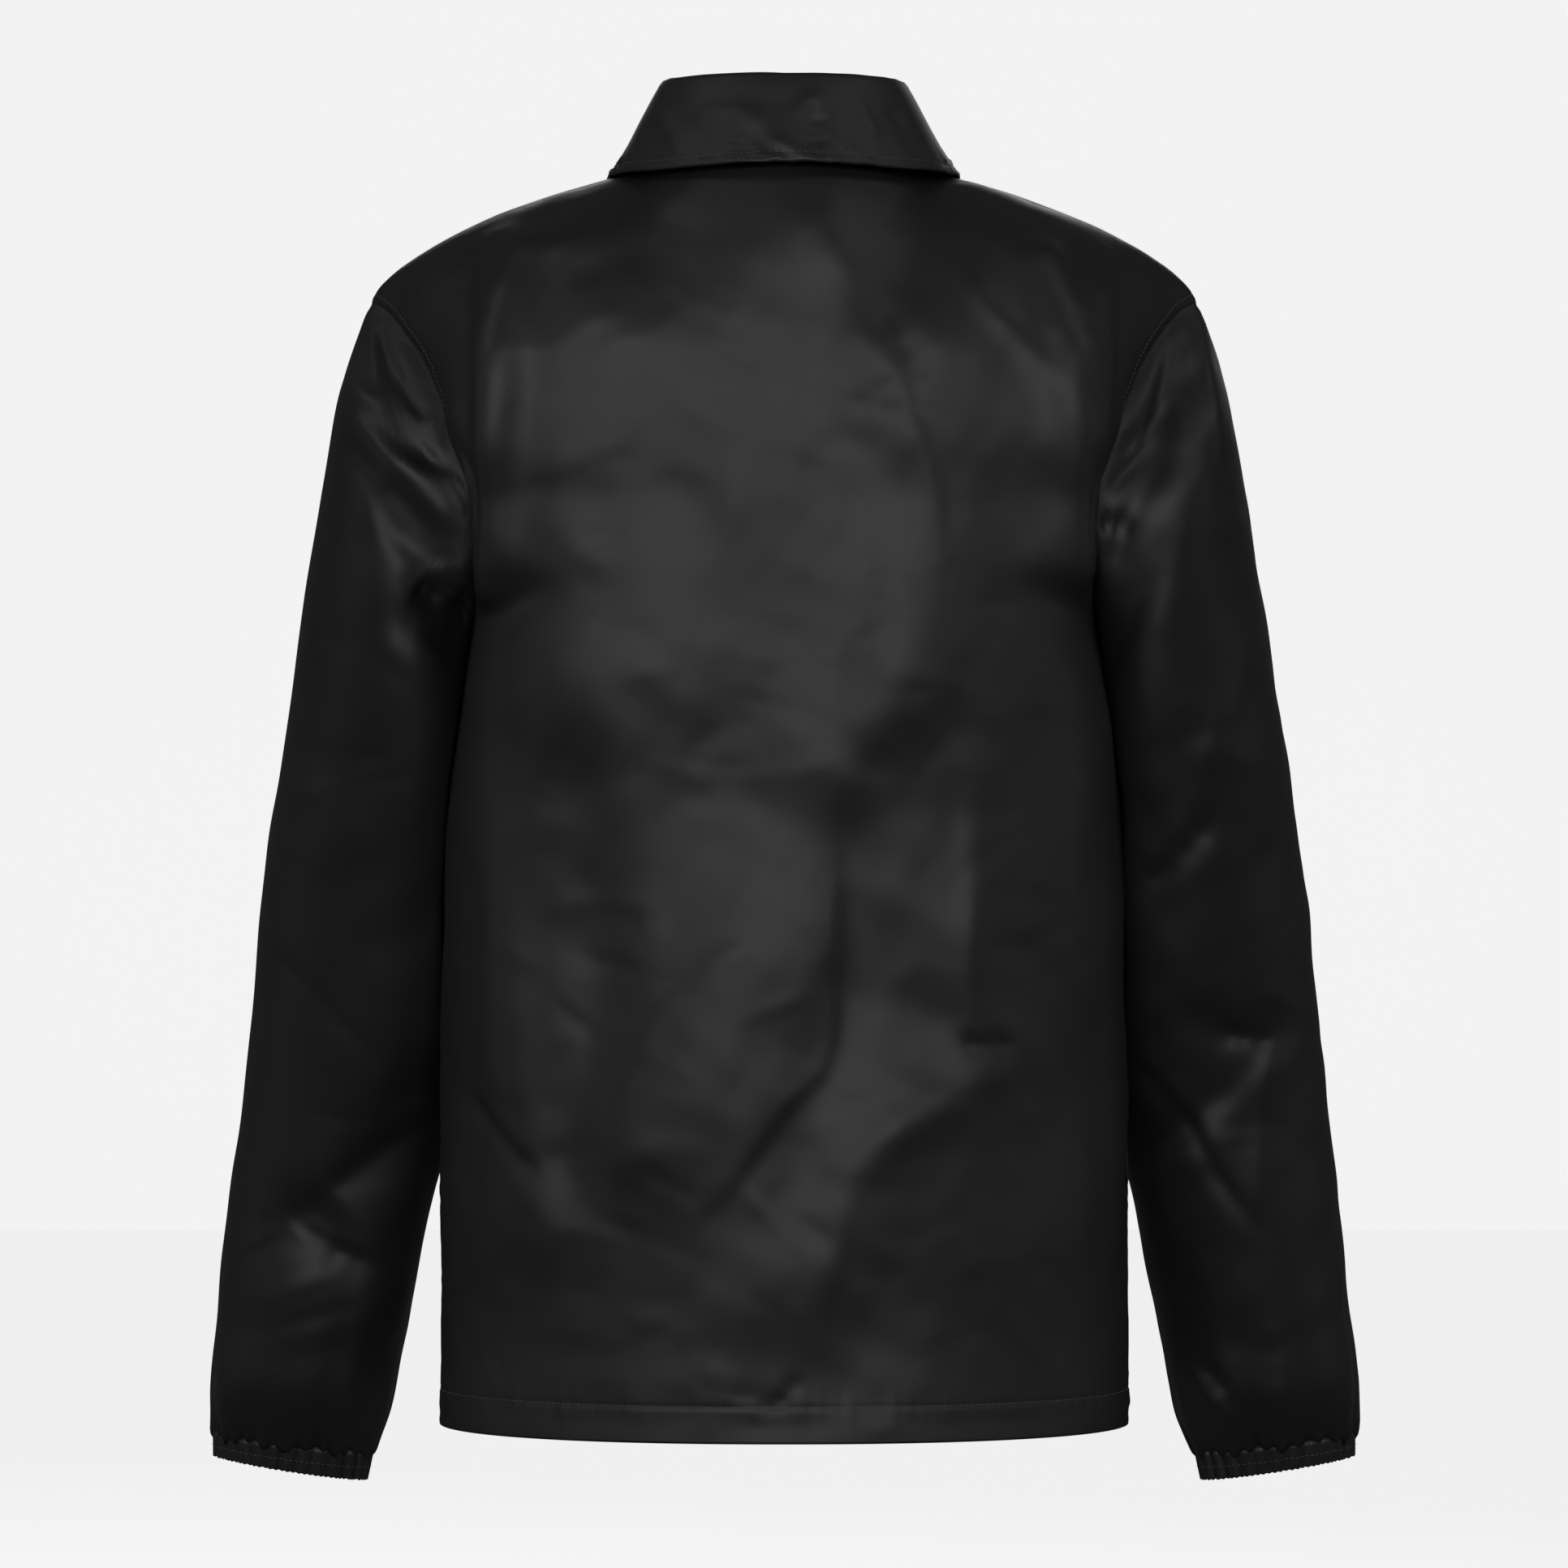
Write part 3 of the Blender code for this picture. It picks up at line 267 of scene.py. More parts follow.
COLLAR_CREASES = (
    Crease(((50, 24), (30, 29), (10, 20)), 6, 6, 1.3),
    Crease(((46, 17), (43, 8), (40, 2)), 3, 3, -1.3),
    Crease(((-2, 8), (-8, 28), (-17, 36), (-26, 28), (-32, 8)), 4, 4, 1.1),
    Crease(((-17, 27), (-17, 6)), 4, 4, -1.7),
    Crease(((-40, 38), (-46, 24), (-53, 8)), 4, 3, 1.3),
    Crease(((-58, 34), (-64, 22), (-71, 8)), 3, 4, -1.2),
    Crease(((71, 34), (64, 20), (57, 4)), 4, 3, 1.2),
    Crease(((23, 13), (20, 1)), 3, 3, -1.1),
    Crease(((5, 13), (2, 0)), 3, 3, 0.9),
)

# Patches that lean: centre (x, z) and half sizes in millimetres, and how far they face up, in degrees
Lean = namedtuple("Lean", "x z half_x half_z up")
BACK_LEANS = (
    Lean(-22, -62, 22, 36, -5.5),
    Lean(-76, -90, 26, 30, 7.6),
    Lean(122, -54, 30, 16, -7.6),
    Lean(-128, -88, 20, 34, -6.8),
    Lean(-55, -190, 20, 80, 3.4),
    Lean(60, -290, 70, 40, -3.0),
    Lean(22, -450, 46, 105, 6.5),
    Lean(0, -600, 34, 42, 4.2),
    Lean(-80, -500, 45, 36, 5.1),
    Lean(-98, -405, 13, 60, 4.2),
    Lean(-60, -420, 18, 60, -4.2),
    Lean(98, -395, 28, 62, -5.1),
    Lean(118, -525, 18, 60, -5.5),
    Lean(155, -420, 15, 100, 3.8),
    Lean(140, -610, 42, 55, -6.0),
    Lean(-100, -625, 70, 50, -6.4),
    Lean(-162, -460, 22, 90, -4.2),
    Lean(75, -668, 55, 13, 4.2),
    Lean(-15, -550, 14, 26, -5.1),
    Lean(148, -238, 30, 30, 5.0),
    Lean(-148, -238, 30, 30, 5.0),
)
FRONT_LEANS = (
    Lean(-70, -110, 30, 36, -5.0),
    Lean(80, -120, 30, 40, -5.0),
    Lean(60, -330, 50, 60, 3.5),
    Lean(-90, -300, 40, 60, -3.0),
    Lean(-50, -480, 46, 60, 4.0),
    Lean(110, -500, 34, 70, -4.0),
    Lean(60, -610, 50, 40, -4.0),
    Lean(-110, -610, 50, 50, -4.0),
)
LEFT_SLEEVE_LEANS = (
    Lean(215, -192, 24, 30, -7.0),
    Lean(260, -598, 26, 34, -17.0),
)
RIGHT_SLEEVE_LEANS = (
    Lean(-207, -178, 24, 30, 14.0),
    Lean(-262, -520, 22, 30, -7.0),
)

# Small random creases: mean length, half width and height, and the widest turn from level
CRUMPLE_LENGTH = 52.0
CRUMPLE_HALF_WIDTH = 5.5
CRUMPLE_HEIGHT = 0.30
CRUMPLE_TURN = 0.75
BODY_CRUMPLES = 130
SLEEVE_CRUMPLES = 40

# The line that runs down from the side of the neck is evened out: rounds, where below the top
# it sets in and ends, and how far to the side it fades out
EVENING_ROUNDS = 40
EVENING_START = (0.002, 0.016)
EVENING_END = (0.160, 0.110)
EVENING_ASIDE = (0.20, 0.08)

# Creases: parts of a curved path, how many half widths they reach, and where they fade out
CREASE_PARTS = 17
CREASE_REACH = 3.0
CREASE_FADE = (-0.05, 0.30)
CREASE_FAR_FADE = (1.05, 0.70)
CREASE_FACING = (0.05, 0.35)
PANEL_EDGE_FADE = 0.012
SLEEVE_EDGE_FADE = 0.010
FRONT_SIDE_SHARE = 0.8

# The part of a sleeve that lies against the body has no ridges
BESIDE_BODY_X = 0.180
BESIDE_ARMHOLE = 0.02
BESIDE_ARMHOLE_Z = -0.26
BESIDE_FADE = (0.010, 0.030)

# The boxes of (x, z), in millimetres, that small creases are strewn over
BODY_BOX = ((-165.0, -685.0), (165.0, -60.0))
SLEEVE_BOX_X = (190.0, 320.0)
SLEEVE_BOX_Z = (-680.0, -120.0)

# Soft unevenness of all the cloth: wavelength and height
RIPPLES = ((0.130, 0.00080), (0.060, 0.00042), (0.032, 0.00016))
RIPPLE_WAVES = 5
COLLAR_RIPPLE = 0.8
BACK_SEED, FRONT_SEED, COLLAR_SEED, COLLAR_PUCKER_SEED = 3, 13, 71, 9
LEFT_SLEEVE_SEED, RIGHT_SLEEVE_SEED = 31, 41

# Grids of the cloth: for each run of rows or columns, where it ends and the size of its cells
PANEL_ROWS = ((0.026, 0.0013), (0.690, 0.0035), (0.715, 0.0020))
PANEL_COLUMNS = ((0.250, 0.0030), (0.270, 0.0016))
OVERLAP_COLUMNS = 10
SLEEVE_ROWS = ((0.018, 0.0015), (0.540, 0.0030), (0.600, 0.0020))
SLEEVE_COLUMNS = 140
CUFF_ROWS = 13
CUFF_STITCH_ROW = 6
COLLAR_ROWS = 57
COLLAR_COLUMNS_BACK = 36
COLLAR_COLUMNS_FRONT = 42
TREE_STRIDE = 3

# Seams and hems
SEAM_DIP = 0.0008
SEAM_REACH = 0.0022
SLEEVE_SEAM_DIP = 0.0004
CUFF_SEAM_DIP = 0.0006
SLEEVE_SEAM_REACH = 0.0018
ARMHOLE_BLEND = 0.006
COLLAR_EDGE_DIP = 0.0005
COLLAR_EDGE_REACH = 0.0012
HEM_RAISE = 0.0004
HEM_STEP = 0.002
TUCK_DEPTH = 0.0018
TUCK_REACH = 0.0042
PUCKER_PITCH = 0.009
PUCKER_DEPTH = 0.00045
PUCKER_REACH = 0.009
COLLAR_PUCKER = 2.8
GROOVE_DEPTH = 0.0003
GROOVE_REACH = 0.0012
ARMHOLE_TOPSTITCH = 0.006
HEM_TOPSTITCH = 0.020
COLLAR_TOPSTITCH = 0.006
FRONT_TOPSTITCH = 0.005
SLEEVE_GATHERS = 30
SLEEVE_GATHER_DEPTH = 0.0016
SLEEVE_GATHER_REACH = 0.010
SLEEVE_PLEATS = 9
SLEEVE_PLEAT_DEPTH = 0.0016
SLEEVE_PLEAT_REACH = 0.040
CUFF_COLUMNS = 480
CUFF_GATHERS = 28
CUFF_GATHER_DEPTH = 0.0010
CUFF_SLANT = 0.9
CUFF_TAPER = 0.0022
CUFF_SCALLOPS = 84
CUFF_SCALLOP = 0.0003
STITCH_PITCH = 0.0033
STITCH_LENGTH = 0.0026
STITCH_RADIUS = 0.00032

# Cut sizes of the pieces, width and length, and the share of it that the shape takes
FLAT = {
    "back": (0.56, 0.73, 0.90),
    "front_left": (0.33, 0.72, 0.84),
    "front_right": (0.33, 0.72, 0.84),
    "sleeve_left": (0.47, 0.62, 0.80),
    "sleeve_right": (0.47, 0.62, 0.80),
    "cuff_left": (0.25, 0.030, 0.60),
    "cuff_right": (0.25, 0.030, 0.60),
    "collar": (0.56, 0.130, 0.80),
}

# Materials
NYLON_COLOURS = ((0.0075, 0.0075, 0.0082, 1.0), (0.0125, 0.0125, 0.0132, 1.0))
NYLON_ROUGHNESS = (0.46, 0.54)
SATIN_STRETCH = 0.45
THREAD_COLOURS = ((0.055, 0.055, 0.056, 1.0), (0.11, 0.11, 0.112, 1.0))
THREAD_ROUGHNESS = 0.55
SNAP_COLOUR = (0.016, 0.016, 0.017, 1.0)
SNAP_ROUGHNESS = (0.24, 0.40)
PAPER_COLOUR = (0.86, 0.86, 0.86, 1.0)
PAPER_ROUGHNESS = 0.9
PAPER_GLOW = 0.75
WHITE = (1.0, 1.0, 1.0, 1.0)

# Camera, light and stage
CAMERA_PLACE = (0.0, 4.0, -0.346)
CAMERA_LENS = 161.69
CAMERA_SENSOR = 36.0
Lamp = namedtuple("Lamp", "name place width height power")
LAMPS = (
    Lamp("wide_bank", (0.25, 4.57, 0.85), 3.6, 1.2, 70.0),
    Lamp("high_left", (2.95, 1.55, 2.90), 1.4, 1.4, 15.0),
    Lamp("high_right", (-2.95, 1.55, 2.90), 1.4, 1.4, 15.0),
    Lamp("front_bank", (-0.35, -4.20, 0.95), 3.2, 1.2, 34.0),
    Lamp("low_left", (4.5, 1.1, -0.10), 1.5, 1.5, 6.0),
    Lamp("low_right", (-4.5, 1.1, -0.10), 1.5, 1.5, 6.0),
)
LAMP_TARGET = (0.0, 0.1, -0.35)
WORLD_LIGHT = 0.07
FLOOR_Z = -1.4
FLOOR_HALF_WIDTH = 6.0
FLOOR_END_Y = 8.0
BACKDROP_Y = -6.0
BACKDROP_TOP = 4.0
# How the floor curves up into the backdrop: distance from it and height above the floor
BACKDROP_CURVE = ((1.5, 0.0), (0.45, 0.45), (0.0, 1.5))


def unit(vectors):
    return vectors / np.maximum(np.linalg.norm(vectors, axis=-1, keepdims=True), 1e-12)


def square_to(vectors, line):
    """Unit vectors square to the line, as close to the given ones as that allows."""
    line = unit(line)
    return unit(vectors - line * (vectors * line).sum(-1, keepdims=True))


def smoothstep(low, high, value):
    t = np.clip((value - low) / (high - low), 0.0, 1.0)
    return t * t * (3.0 - 2.0 * t)


def lengths_along(points):
    """How far along a polyline each of its points is."""
    return np.concatenate([[0.0], np.cumsum(np.linalg.norm(np.diff(points, axis=0), axis=1))])


class Line:
    """A finely divided curve, read at shares of its length."""

    def __init__(self, points):
        self.points = points
        self.shares = lengths_along(points) / lengths_along(points)[-1]

    def at(self, shares):
        return np.stack([np.interp(shares, self.shares, self.points[:, i]) for i in range(3)], axis=-1)


def spline(knots, keys, at, corner=None, sharp=0.0):
    """A smooth curve for each parameter in at, through its own keys: one key for each knot.

    At the knot numbered corner each curve may bend sharply, as far as sharp (0 to 1) says."""
    wide = np.diff(knots)[:, None, None]
    slopes = np.diff(keys, axis=0) / wide
    before, after = wide[:-1], wide[1:]
    smooth = (slopes[:-1] * after + slopes[1:] * before) / (before + after)
    leaving = np.concatenate([slopes[:1], smooth, slopes[-1:]])
    arriving = leaving.copy()
    if corner is not None:
        arriving[corner] += (slopes[corner - 1] - arriving[corner]) * sharp[:, None]
        leaving[corner] += (slopes[corner] - leaving[corner]) * sharp[:, None]
    i = np.clip(np.searchsorted(knots, at, side="right") - 1, 0, len(knots) - 2)
    n = np.arange(len(at))
    gap = wide[i, 0]
    t = (at - knots[i])[:, None] / gap
    return ((2 * t**3 - 3 * t**2 + 1) * keys[i, n] + (t**3 - 2 * t**2 + t) * gap * leaving[i, n]
            + (3 * t**2 - 2 * t**3) * keys[i + 1, n] + (t**3 - t**2) * gap * arriving[i + 1, n])


def curve_through(knots, keys, at):
    """One smooth curve through the keys, read at every parameter in at."""
    return spline(np.asarray(knots), np.repeat(np.asarray(keys)[:, None], len(at), axis=1), np.asarray(at))


def fold_height(points, folds):
    """Height of all main folds together at these points, from each point's x and z."""
    place = points[..., [0, 2]]
    total = np.zeros(points.shape[:-1])
    for fold in folds:
        path = np.array(fold.path)
        nearest = np.full(total.shape, 1e9)
        for a, b in zip(path[:-1], path[1:]):
            run = b - a
            t = np.clip(((place - a) @ run) / (run @ run), 0.0, 1.0)
            nearest = np.minimum(nearest, np.linalg.norm(place - a - t[..., None] * run, axis=-1))
        total += fold.height * np.exp(-((nearest / fold.half_width) ** 2))
    return total


def crease_height(points, creases):
    """Height of all fine creases at these points. Each fades out at both ends and is a little uneven."""
    place = points[..., [0, 2]].reshape(-1, 2)
    total = np.zeros(len(place))
    for number, crease in enumerate(creases):
        keys = np.array(crease.path) / 1000.0
        knots = np.linspace(0.0, 1.0, len(keys))
        path = curve_through(knots, keys, np.linspace(0.0, 1.0, CREASE_PARTS)) if len(keys) > 2 else keys
        reach = CREASE_REACH * max(crease.left, crease.right) / 1000.0
        low, high = path.min(axis=0) - reach, path.max(axis=0) + reach
        near = np.flatnonzero(((place > low) & (place < high)).all(axis=1))
        spot = place[near]
        nearest = np.full(len(near), 1e9)
        side, share = np.zeros(len(near)), np.zeros(len(near))
        for i, (a, b) in enumerate(zip(path[:-1], path[1:])):
            run = b - a
            t = np.clip(((spot - a) @ run) / (run @ run), 0.0, 1.0)
            off = spot - a - t[:, None] * run
            away = np.linalg.norm(off, axis=1)
            closer = away < nearest
            nearest = np.where(closer, away, nearest)
            side = np.where(closer, run[0] * off[:, 1] - run[1] * off[:, 0], side)
            share = np.where(closer, (i + t) / (len(path) - 1), share)
        width = np.where(side > 0, crease.left, crease.right) / 1000.0
        taper = np.sqrt(smoothstep(*CREASE_FADE, share) * smoothstep(*CREASE_FAR_FADE, share))
        uneven = 1.0 + 0.16 * np.sin(9.0 * share + 2.3 * number) + 0.10 * np.sin(23.0 * share + number)
        total[near] += crease.height / 1000.0 * taper * uneven * np.exp(-((nearest / width) ** 2))
    return total.reshape(points.shape[:-1])


def lean_height(points, leans):
    """Height that makes whole patches of the cloth face a little up or down."""
    x, z = points[..., 0] * 1000.0, points[..., 2] * 1000.0
    total = np.zeros(points.shape[:-1])
    for lean in leans:
        aside, above = (x - lean.x) / lean.half_x, (z - lean.z) / lean.half_z
        slope = math.tan(math.radians(lean.up))
        total -= slope * (z - lean.z) / 1000.0 * np.exp(-aside * aside - above * above)
    return total


def crumples(seed, count, low, high):
    """Small creases strewn over a box of (x, z) millimetres: ridges and troughs, mostly near level."""
    generator = np.random.default_rng(seed)
    creases = []
    for _ in range(count):
        middle = generator.uniform(low, high)
        length = CRUMPLE_LENGTH * generator.uniform(0.5, 1.6)
        turn = generator.normal() * CRUMPLE_TURN * 0.5
        run = np.array([math.cos(turn), math.sin(turn)]) * length / 2
        bend = run[::-1] * (1.0, -1.0) * generator.uniform(-0.25, 0.25)
        height = CRUMPLE_HEIGHT * generator.uniform(0.5, 1.5) * generator.choice((-1.0, 1.0))
        left, right = CRUMPLE_HALF_WIDTH * generator.uniform(0.6, 1.7, size=2)
        path = (tuple(middle - run), tuple(middle + bend), tuple(middle + run))
        creases.append(Crease(path, left, right, height))
    return tuple(creases)


def ripple_height(points, seed):
    """Low waves that run every way over the cloth, so that no patch of it is quite even."""
    generator = np.random.default_rng(seed)
    total = np.zeros(points.shape[:-1])
    for wavelength, height in RIPPLES:
        for _ in range(RIPPLE_WAVES):
            run = unit(generator.normal(size=3) * (1.0, 1.0, 0.75)) * 2 * math.pi / wavelength
            run *= generator.uniform(0.7, 1.4)
            bend = 0.8 * np.sin(points @ (run[[1, 2, 0]] * 0.45) + generator.uniform(0, 6.28))
            total += height * 0.45 * np.sin(points @ run + bend + generator.uniform(0, 6.28))
    return total


def pucker_height(along, away, seed):
    """Small uneven gathers beside a line of stitches."""
    phase = along / PUCKER_PITCH + 0.8 * np.sin(along * 61.0 + seed) + 0.5 * np.sin(along * 143.0 + 2 * seed)
    size = 0.6 + 0.4 * np.sin(along * 37.0 + 3 * seed)
    return PUCKER_DEPTH * size * np.sin(2 * math.pi * phase) * np.exp(-((away / PUCKER_REACH) ** 2))


def dip(away, depth, reach):
    return -depth * np.exp(-((away / reach) ** 2))


def grid_normals(surface, across, up, step):
    """Unit normals of surface(across, up), from small steps inside its range."""
    a0, a1 = across - step, np.minimum(across + step, 1)
    u0, u1 = np.clip(up - STEP, 0, 1), np.clip(up + STEP, 0, 1)
    side = surface(a1, up) - surface(a0, up)
    rise = surface(across, u1) - surface(across, u0)
    return unit(np.cross(side, rise))


class Half_body:
    """The back (sign 1) or front (sign -1) of one side, with x at 0 or more.

    Across goes from the centre line (0) to the side seam and the armhole (1), up from the hem (0)
    to the neck and shoulder seam (1)."""

    def __init__(self, sign):
        self.sign = sign
        self.neck_share = NECK_SHARE_BACK if sign > 0 else NECK_SHARE_FRONT
        arm_rows = BACK_ARM_ROWS if sign > 0 else FRONT_ARM_ROWS
        self.lines = [Line(self.level_points(level)) for level in LEVELS]
        self.lines += [Line(self.arm_row_points(row)) for row in arm_rows]
        self.neck_line, self.shoulder_line = Line(self.neck_points()), Line(shoulder_points())
        self.underarm = len(LEVELS) - 1
        heights = np.array([level.z for level in LEVELS])
        below = (heights - heights[0]) / (heights[-1] - heights[0]) * UNDERARM_UP
        above = lengths_along(self.key_rows(np.array([0.5]))[self.underarm:, 0])
        self.knots = np.concatenate([below, UNDERARM_UP + above[1:] / above[-2] * (1 - UNDERARM_UP)])

    def level_points(self, level):
        turn = np.linspace(0.0, math.pi / 2, FINE)
        power = 2.0 / level.squareness
        depth = level.back_depth if self.sign > 0 else -level.front_depth
        side_y = UNDERARM[1] * smoothstep(SIDE_TURN_Z, UNDERARM[2], level.z)
        x = level.half_width * np.sin(turn) ** power
        y = side_y + (depth - side_y) * np.abs(np.cos(turn)) ** power
        return np.stack([x, y, np.full(FINE, level.z)], axis=-1)

    def arm_row_points(self, row):
        turn = np.linspace(0.0, math.pi / 2, FINE)
        power = 2.0 / row.squareness
        share = np.sin(turn) ** power
        x = row.edge_x * share
        y = row.edge_y + (row.centre_y - row.edge_y) * np.abs(np.cos(turn)) ** power
        z = row.centre_z + (row.edge_z - row.centre_z) * share**2
        return np.stack([x, y, z], axis=-1)

    def neck_points(self):
        turn = np.linspace(0.0, math.pi / 2, FINE)
        neck = NECK_BACK if self.sign > 0 else NECK_FRONT
        x = NECK_SIDE[0] * np.sin(turn)
        y = NECK_SIDE[1] + (neck[1] - NECK_SIDE[1]) * np.cos(turn)
        z = NECK_SIDE[2] + (neck[2] - NECK_SIDE[2]) * np.cos(turn) ** 1.5
        return np.stack([x, y, z], axis=-1)

    def top_row(self, across):
        """The neck seam and then the shoulder seam."""
        share = self.neck_share
        neck = self.neck_line.at(across / share)
        shoulder = self.shoulder_line.at((across - share) / (1.0 - share))
        return np.where((across < share)[:, None], neck, shoulder)

    def key_rows(self, across):
        rows = [line.at(across) for line in self.lines]
        low, top = rows[-1], self.top_row(across)
        middle = smoothstep(*HOOP_MIDDLE, across)
        power = HOOP_NECK_POWER + (HOOP_MIDDLE_POWER - HOOP_NECK_POWER) * middle
        power = 2.0 / (power + (HOOP_EDGE_POWER - power) * across**3)
        for share in HOOP_STEPS:
            turn = share * math.pi / 2
            flat, rise = math.cos(turn) ** power, math.sin(turn) ** power
            x = low[:, 0] + (top[:, 0] - low[:, 0]) * (1.0 - flat)
            y = top[:, 1] + (low[:, 1] - top[:, 1]) * flat
            z = low[:, 2] + (top[:, 2] - low[:, 2]) * rise
            rows.append(np.stack([x, y, z], axis=-1))
        over = rows[-1].copy()
        over[:, 1] = 2 * top[:, 1] - over[:, 1]
        start, end = (self.neck_share + aside for aside in HOOP_NECK_END)
        on_neck = smoothstep(start, end, across)[:, None]
        rows += [top, over + (2 * top - rows[-1] - over) * on_neck]
        return np.array(rows)

    def base(self, across, up):
        """Points for matching lists of across and up."""
        sharp = smoothstep(0.6, 1.0, across)
        return spline(self.knots, self.key_rows(across), up, self.underarm, sharp)


def shoulder_points():
    ridge = np.array([NECK_SIDE, *[(x, 0.004, z) for x, z in SHOULDER_LINE], SHOULDER_TIP])
    return curve_through(ridge[:, 0], ridge, np.linspace(ridge[0, 0], ridge[-1, 0], FINE))


def body_half_width(y, z):
    """Half width of the body's level section at this depth and height."""
    heights = [level.z for level in LEVELS]

    def read(name):
        return np.interp(z, heights, [getattr(level, name) for level in LEVELS])

    depth = np.where(y > 0, read("back_depth"), read("front_depth"))
    power = read("squareness")
    return read("half_width") * np.maximum(1 - np.abs(y / depth) ** power, 0.0) ** (1 / power)


class Panel:
    """A panel with its main folds: across is -1 to 1 on the back, and past 0 on a front that overlaps."""

    def __init__(self, half, side, folds, overlap=0.0):
        self.half, self.side, self.folds, self.overlap = half, side, folds, overlap

    def base(self, across, up):
        points = self.half.base(np.abs(across), up)
        points[:, 0] *= self.side * np.where(across < 0, -1.0, 1.0)
        return points

    def facing(self, across, up):
        return grid_normals(self.base, across, up, WIDE_STEP) * (-self.side * self.half.sign)

    def surface(self, across, up):
        points = self.base(across, up)
        normals = self.facing(across, up)
        share = smoothstep(*FOLD_FACING, np.abs(normals[:, 1]))
        height = fold_height(points, self.folds) * share
        near_centre = smoothstep(OVERLAP_HALF + OVERLAP_BLEND, OVERLAP_HALF, np.abs(points[:, 0]))
        height = height + self.overlap * near_centre
        return points + normals * height[:, None]

    def normals(self, across, up):
        return grid_normals(self.surface, across, up, STEP) * (-self.side * self.half.sign)


class Sleeve:
    """A sleeve from its armhole (down 0) to the cuff (1). Around 0 is the shoulder tip, 0.5 the underarm."""

    def __init__(self, side, back, front, folds):
        self.side, self.folds = side, folds
        fine = np.linspace(UNDERARM_UP, 1.0, FINE)
        behind = back.surface(np.full(FINE, float(side * back.side)), fine)
        before = front.surface(np.ones(FINE), fine)
        self.back_edge, self.front_edge = Line(behind[::-1]), Line(before)
        keys = self.key_rings(np.array([0.25, 0.75]))
        steps = np.linalg.norm(np.diff(keys, axis=0), axis=2).mean(axis=1)
        reach = np.concatenate([[0.0], np.cumsum(steps)])
        self.length = reach[-1]
        self.knots = reach / reach[-1]

    def armhole(self, around):
        behind = self.back_edge.at(around * 2)
        before = self.front_edge.at(around * 2 - 1)
        return np.where((around < 0.5)[:, None], behind, before)

    def ring(self, row, around):
        turn = 2 * math.pi * around
        power = 2.0 / SLEEVE_SQUARENESS
        outer = np.array([row.outer_x, row.middle_y, row.outer_z])
        inner = np.array([row.inner_x, row.middle_y, row.inner_z])
        across = (outer - inner) / 2
        cosine, sine = np.cos(turn), np.sin(turn)
        wide = np.sign(cosine) * np.abs(cosine) ** power
        deep = np.sign(sine) * np.abs(sine) ** power
        points = (outer + inner) / 2 + wide[:, None] * across
        points[:, 1] += deep * row.half_depth
        points[:, 0] *= self.side
        return points

    def key_rings(self, around):
        return np.array([self.armhole(around)] + [self.ring(row, around) for row in RINGS])

    def base(self, around, down):
        return spline(self.knots, self.key_rings(np.mod(around, 1.0)), down)

    def outwards(self, surface, around, down, step):
        """Unit normals of surface(around, down)."""
        d0, d1 = np.clip(down - STEP, 0, 1), np.clip(down + STEP, 0, 1)
        side = surface(around + step, down) - surface(around - step, down)
        run = surface(around, d1) - surface(around, d0)
        return unit(np.cross(side, run)) * -self.side

    def gathers(self, around, down):
        """Uneven gathers that the elastic cuff draws into the end of the sleeve."""
        turn = 2 * math.pi * around
        bend = 0.9 * np.sin(turn * 2 + 1.0) + 0.6 * np.sin(turn * 5 + 2.0 * self.side)
        uneven = 1.0 + 0.45 * np.sin(turn * 4 + 0.7) + 0.25 * np.sin(turn * 7)
        from_cuff = (1.0 - down) * self.length
        short_fade = np.exp(-((from_cuff / SLEEVE_GATHER_REACH / uneven) ** 1.5))
        long_fade = np.exp(-((from_cuff / SLEEVE_PLEAT_REACH / uneven) ** 1.5))
        short = np.cos(SLEEVE_GATHERS * turn + 2 * bend) * short_fade
        long = np.cos(SLEEVE_PLEATS * turn + bend) * long_fade
        return SLEEVE_GATHER_DEPTH * short + SLEEVE_PLEAT_DEPTH * long

    def surface(self, around, down):
        points = self.base(around, down)
        normals = self.outwards(self.base, around, down, WIDE_STEP / 2)
        started = smoothstep(0.0, SLEEVE_FOLD_START, down)
        behind = smoothstep(*SLEEVE_FOLD_FACING, normals[:, 1])
        height = fold_height(points, self.folds) * behind * started
        mirrored = points * MIRROR_X
        other = tuple(Fold([(-x, z - SLEEVE_FOLD_DROP) for x, z in f.path], f.half_width, f.height)
                      for f in self.folds)
        before = smoothstep(*SLEEVE_FOLD_FACING, -normals[:, 1])
        height += fold_height(mirrored, other) * before * started
        height += self.gathers(around, down)
        points = points + normals * height[:, None]
        clear = BODY_CLEARANCE * smoothstep(0.0, CLEARANCE_REACH, down)
        limit = body_half_width(points[:, 1], points[:, 2]) + clear
        share = smoothstep(UNDERARM[2] + CLEAR_FROM, UNDERARM[2] + CLEAR_WHOLE, points[:, 2])
        push = np.maximum(limit - points[:, 0] * self.side, 0.0) * share
        points[:, 0] += push * self.side
        return points

    def normals(self, around, down):
        return self.outwards(self.surface, around, down, STEP)


def places(parts):
    """Shares of a length at the ends of its cells. Each part is (where it ends, size of its cells)."""
    ends = [0.0]
    for until, cell in parts:
        count = max(1, round((until - ends[-1]) / cell))
        ends.extend(np.linspace(ends[-1], until, count + 1)[1:])
    return np.array(ends) / ends[-1]


def grid_lengths(points, axis):
    """Length along the grid's rows (axis 1) or columns (axis 0) up to each point."""
    steps = np.linalg.norm(np.diff(points, axis=axis), axis=-1)
    start = np.zeros_like(np.take(steps, [0], axis=axis))
    return np.concatenate([start, np.cumsum(steps, axis=axis)], axis=axis)


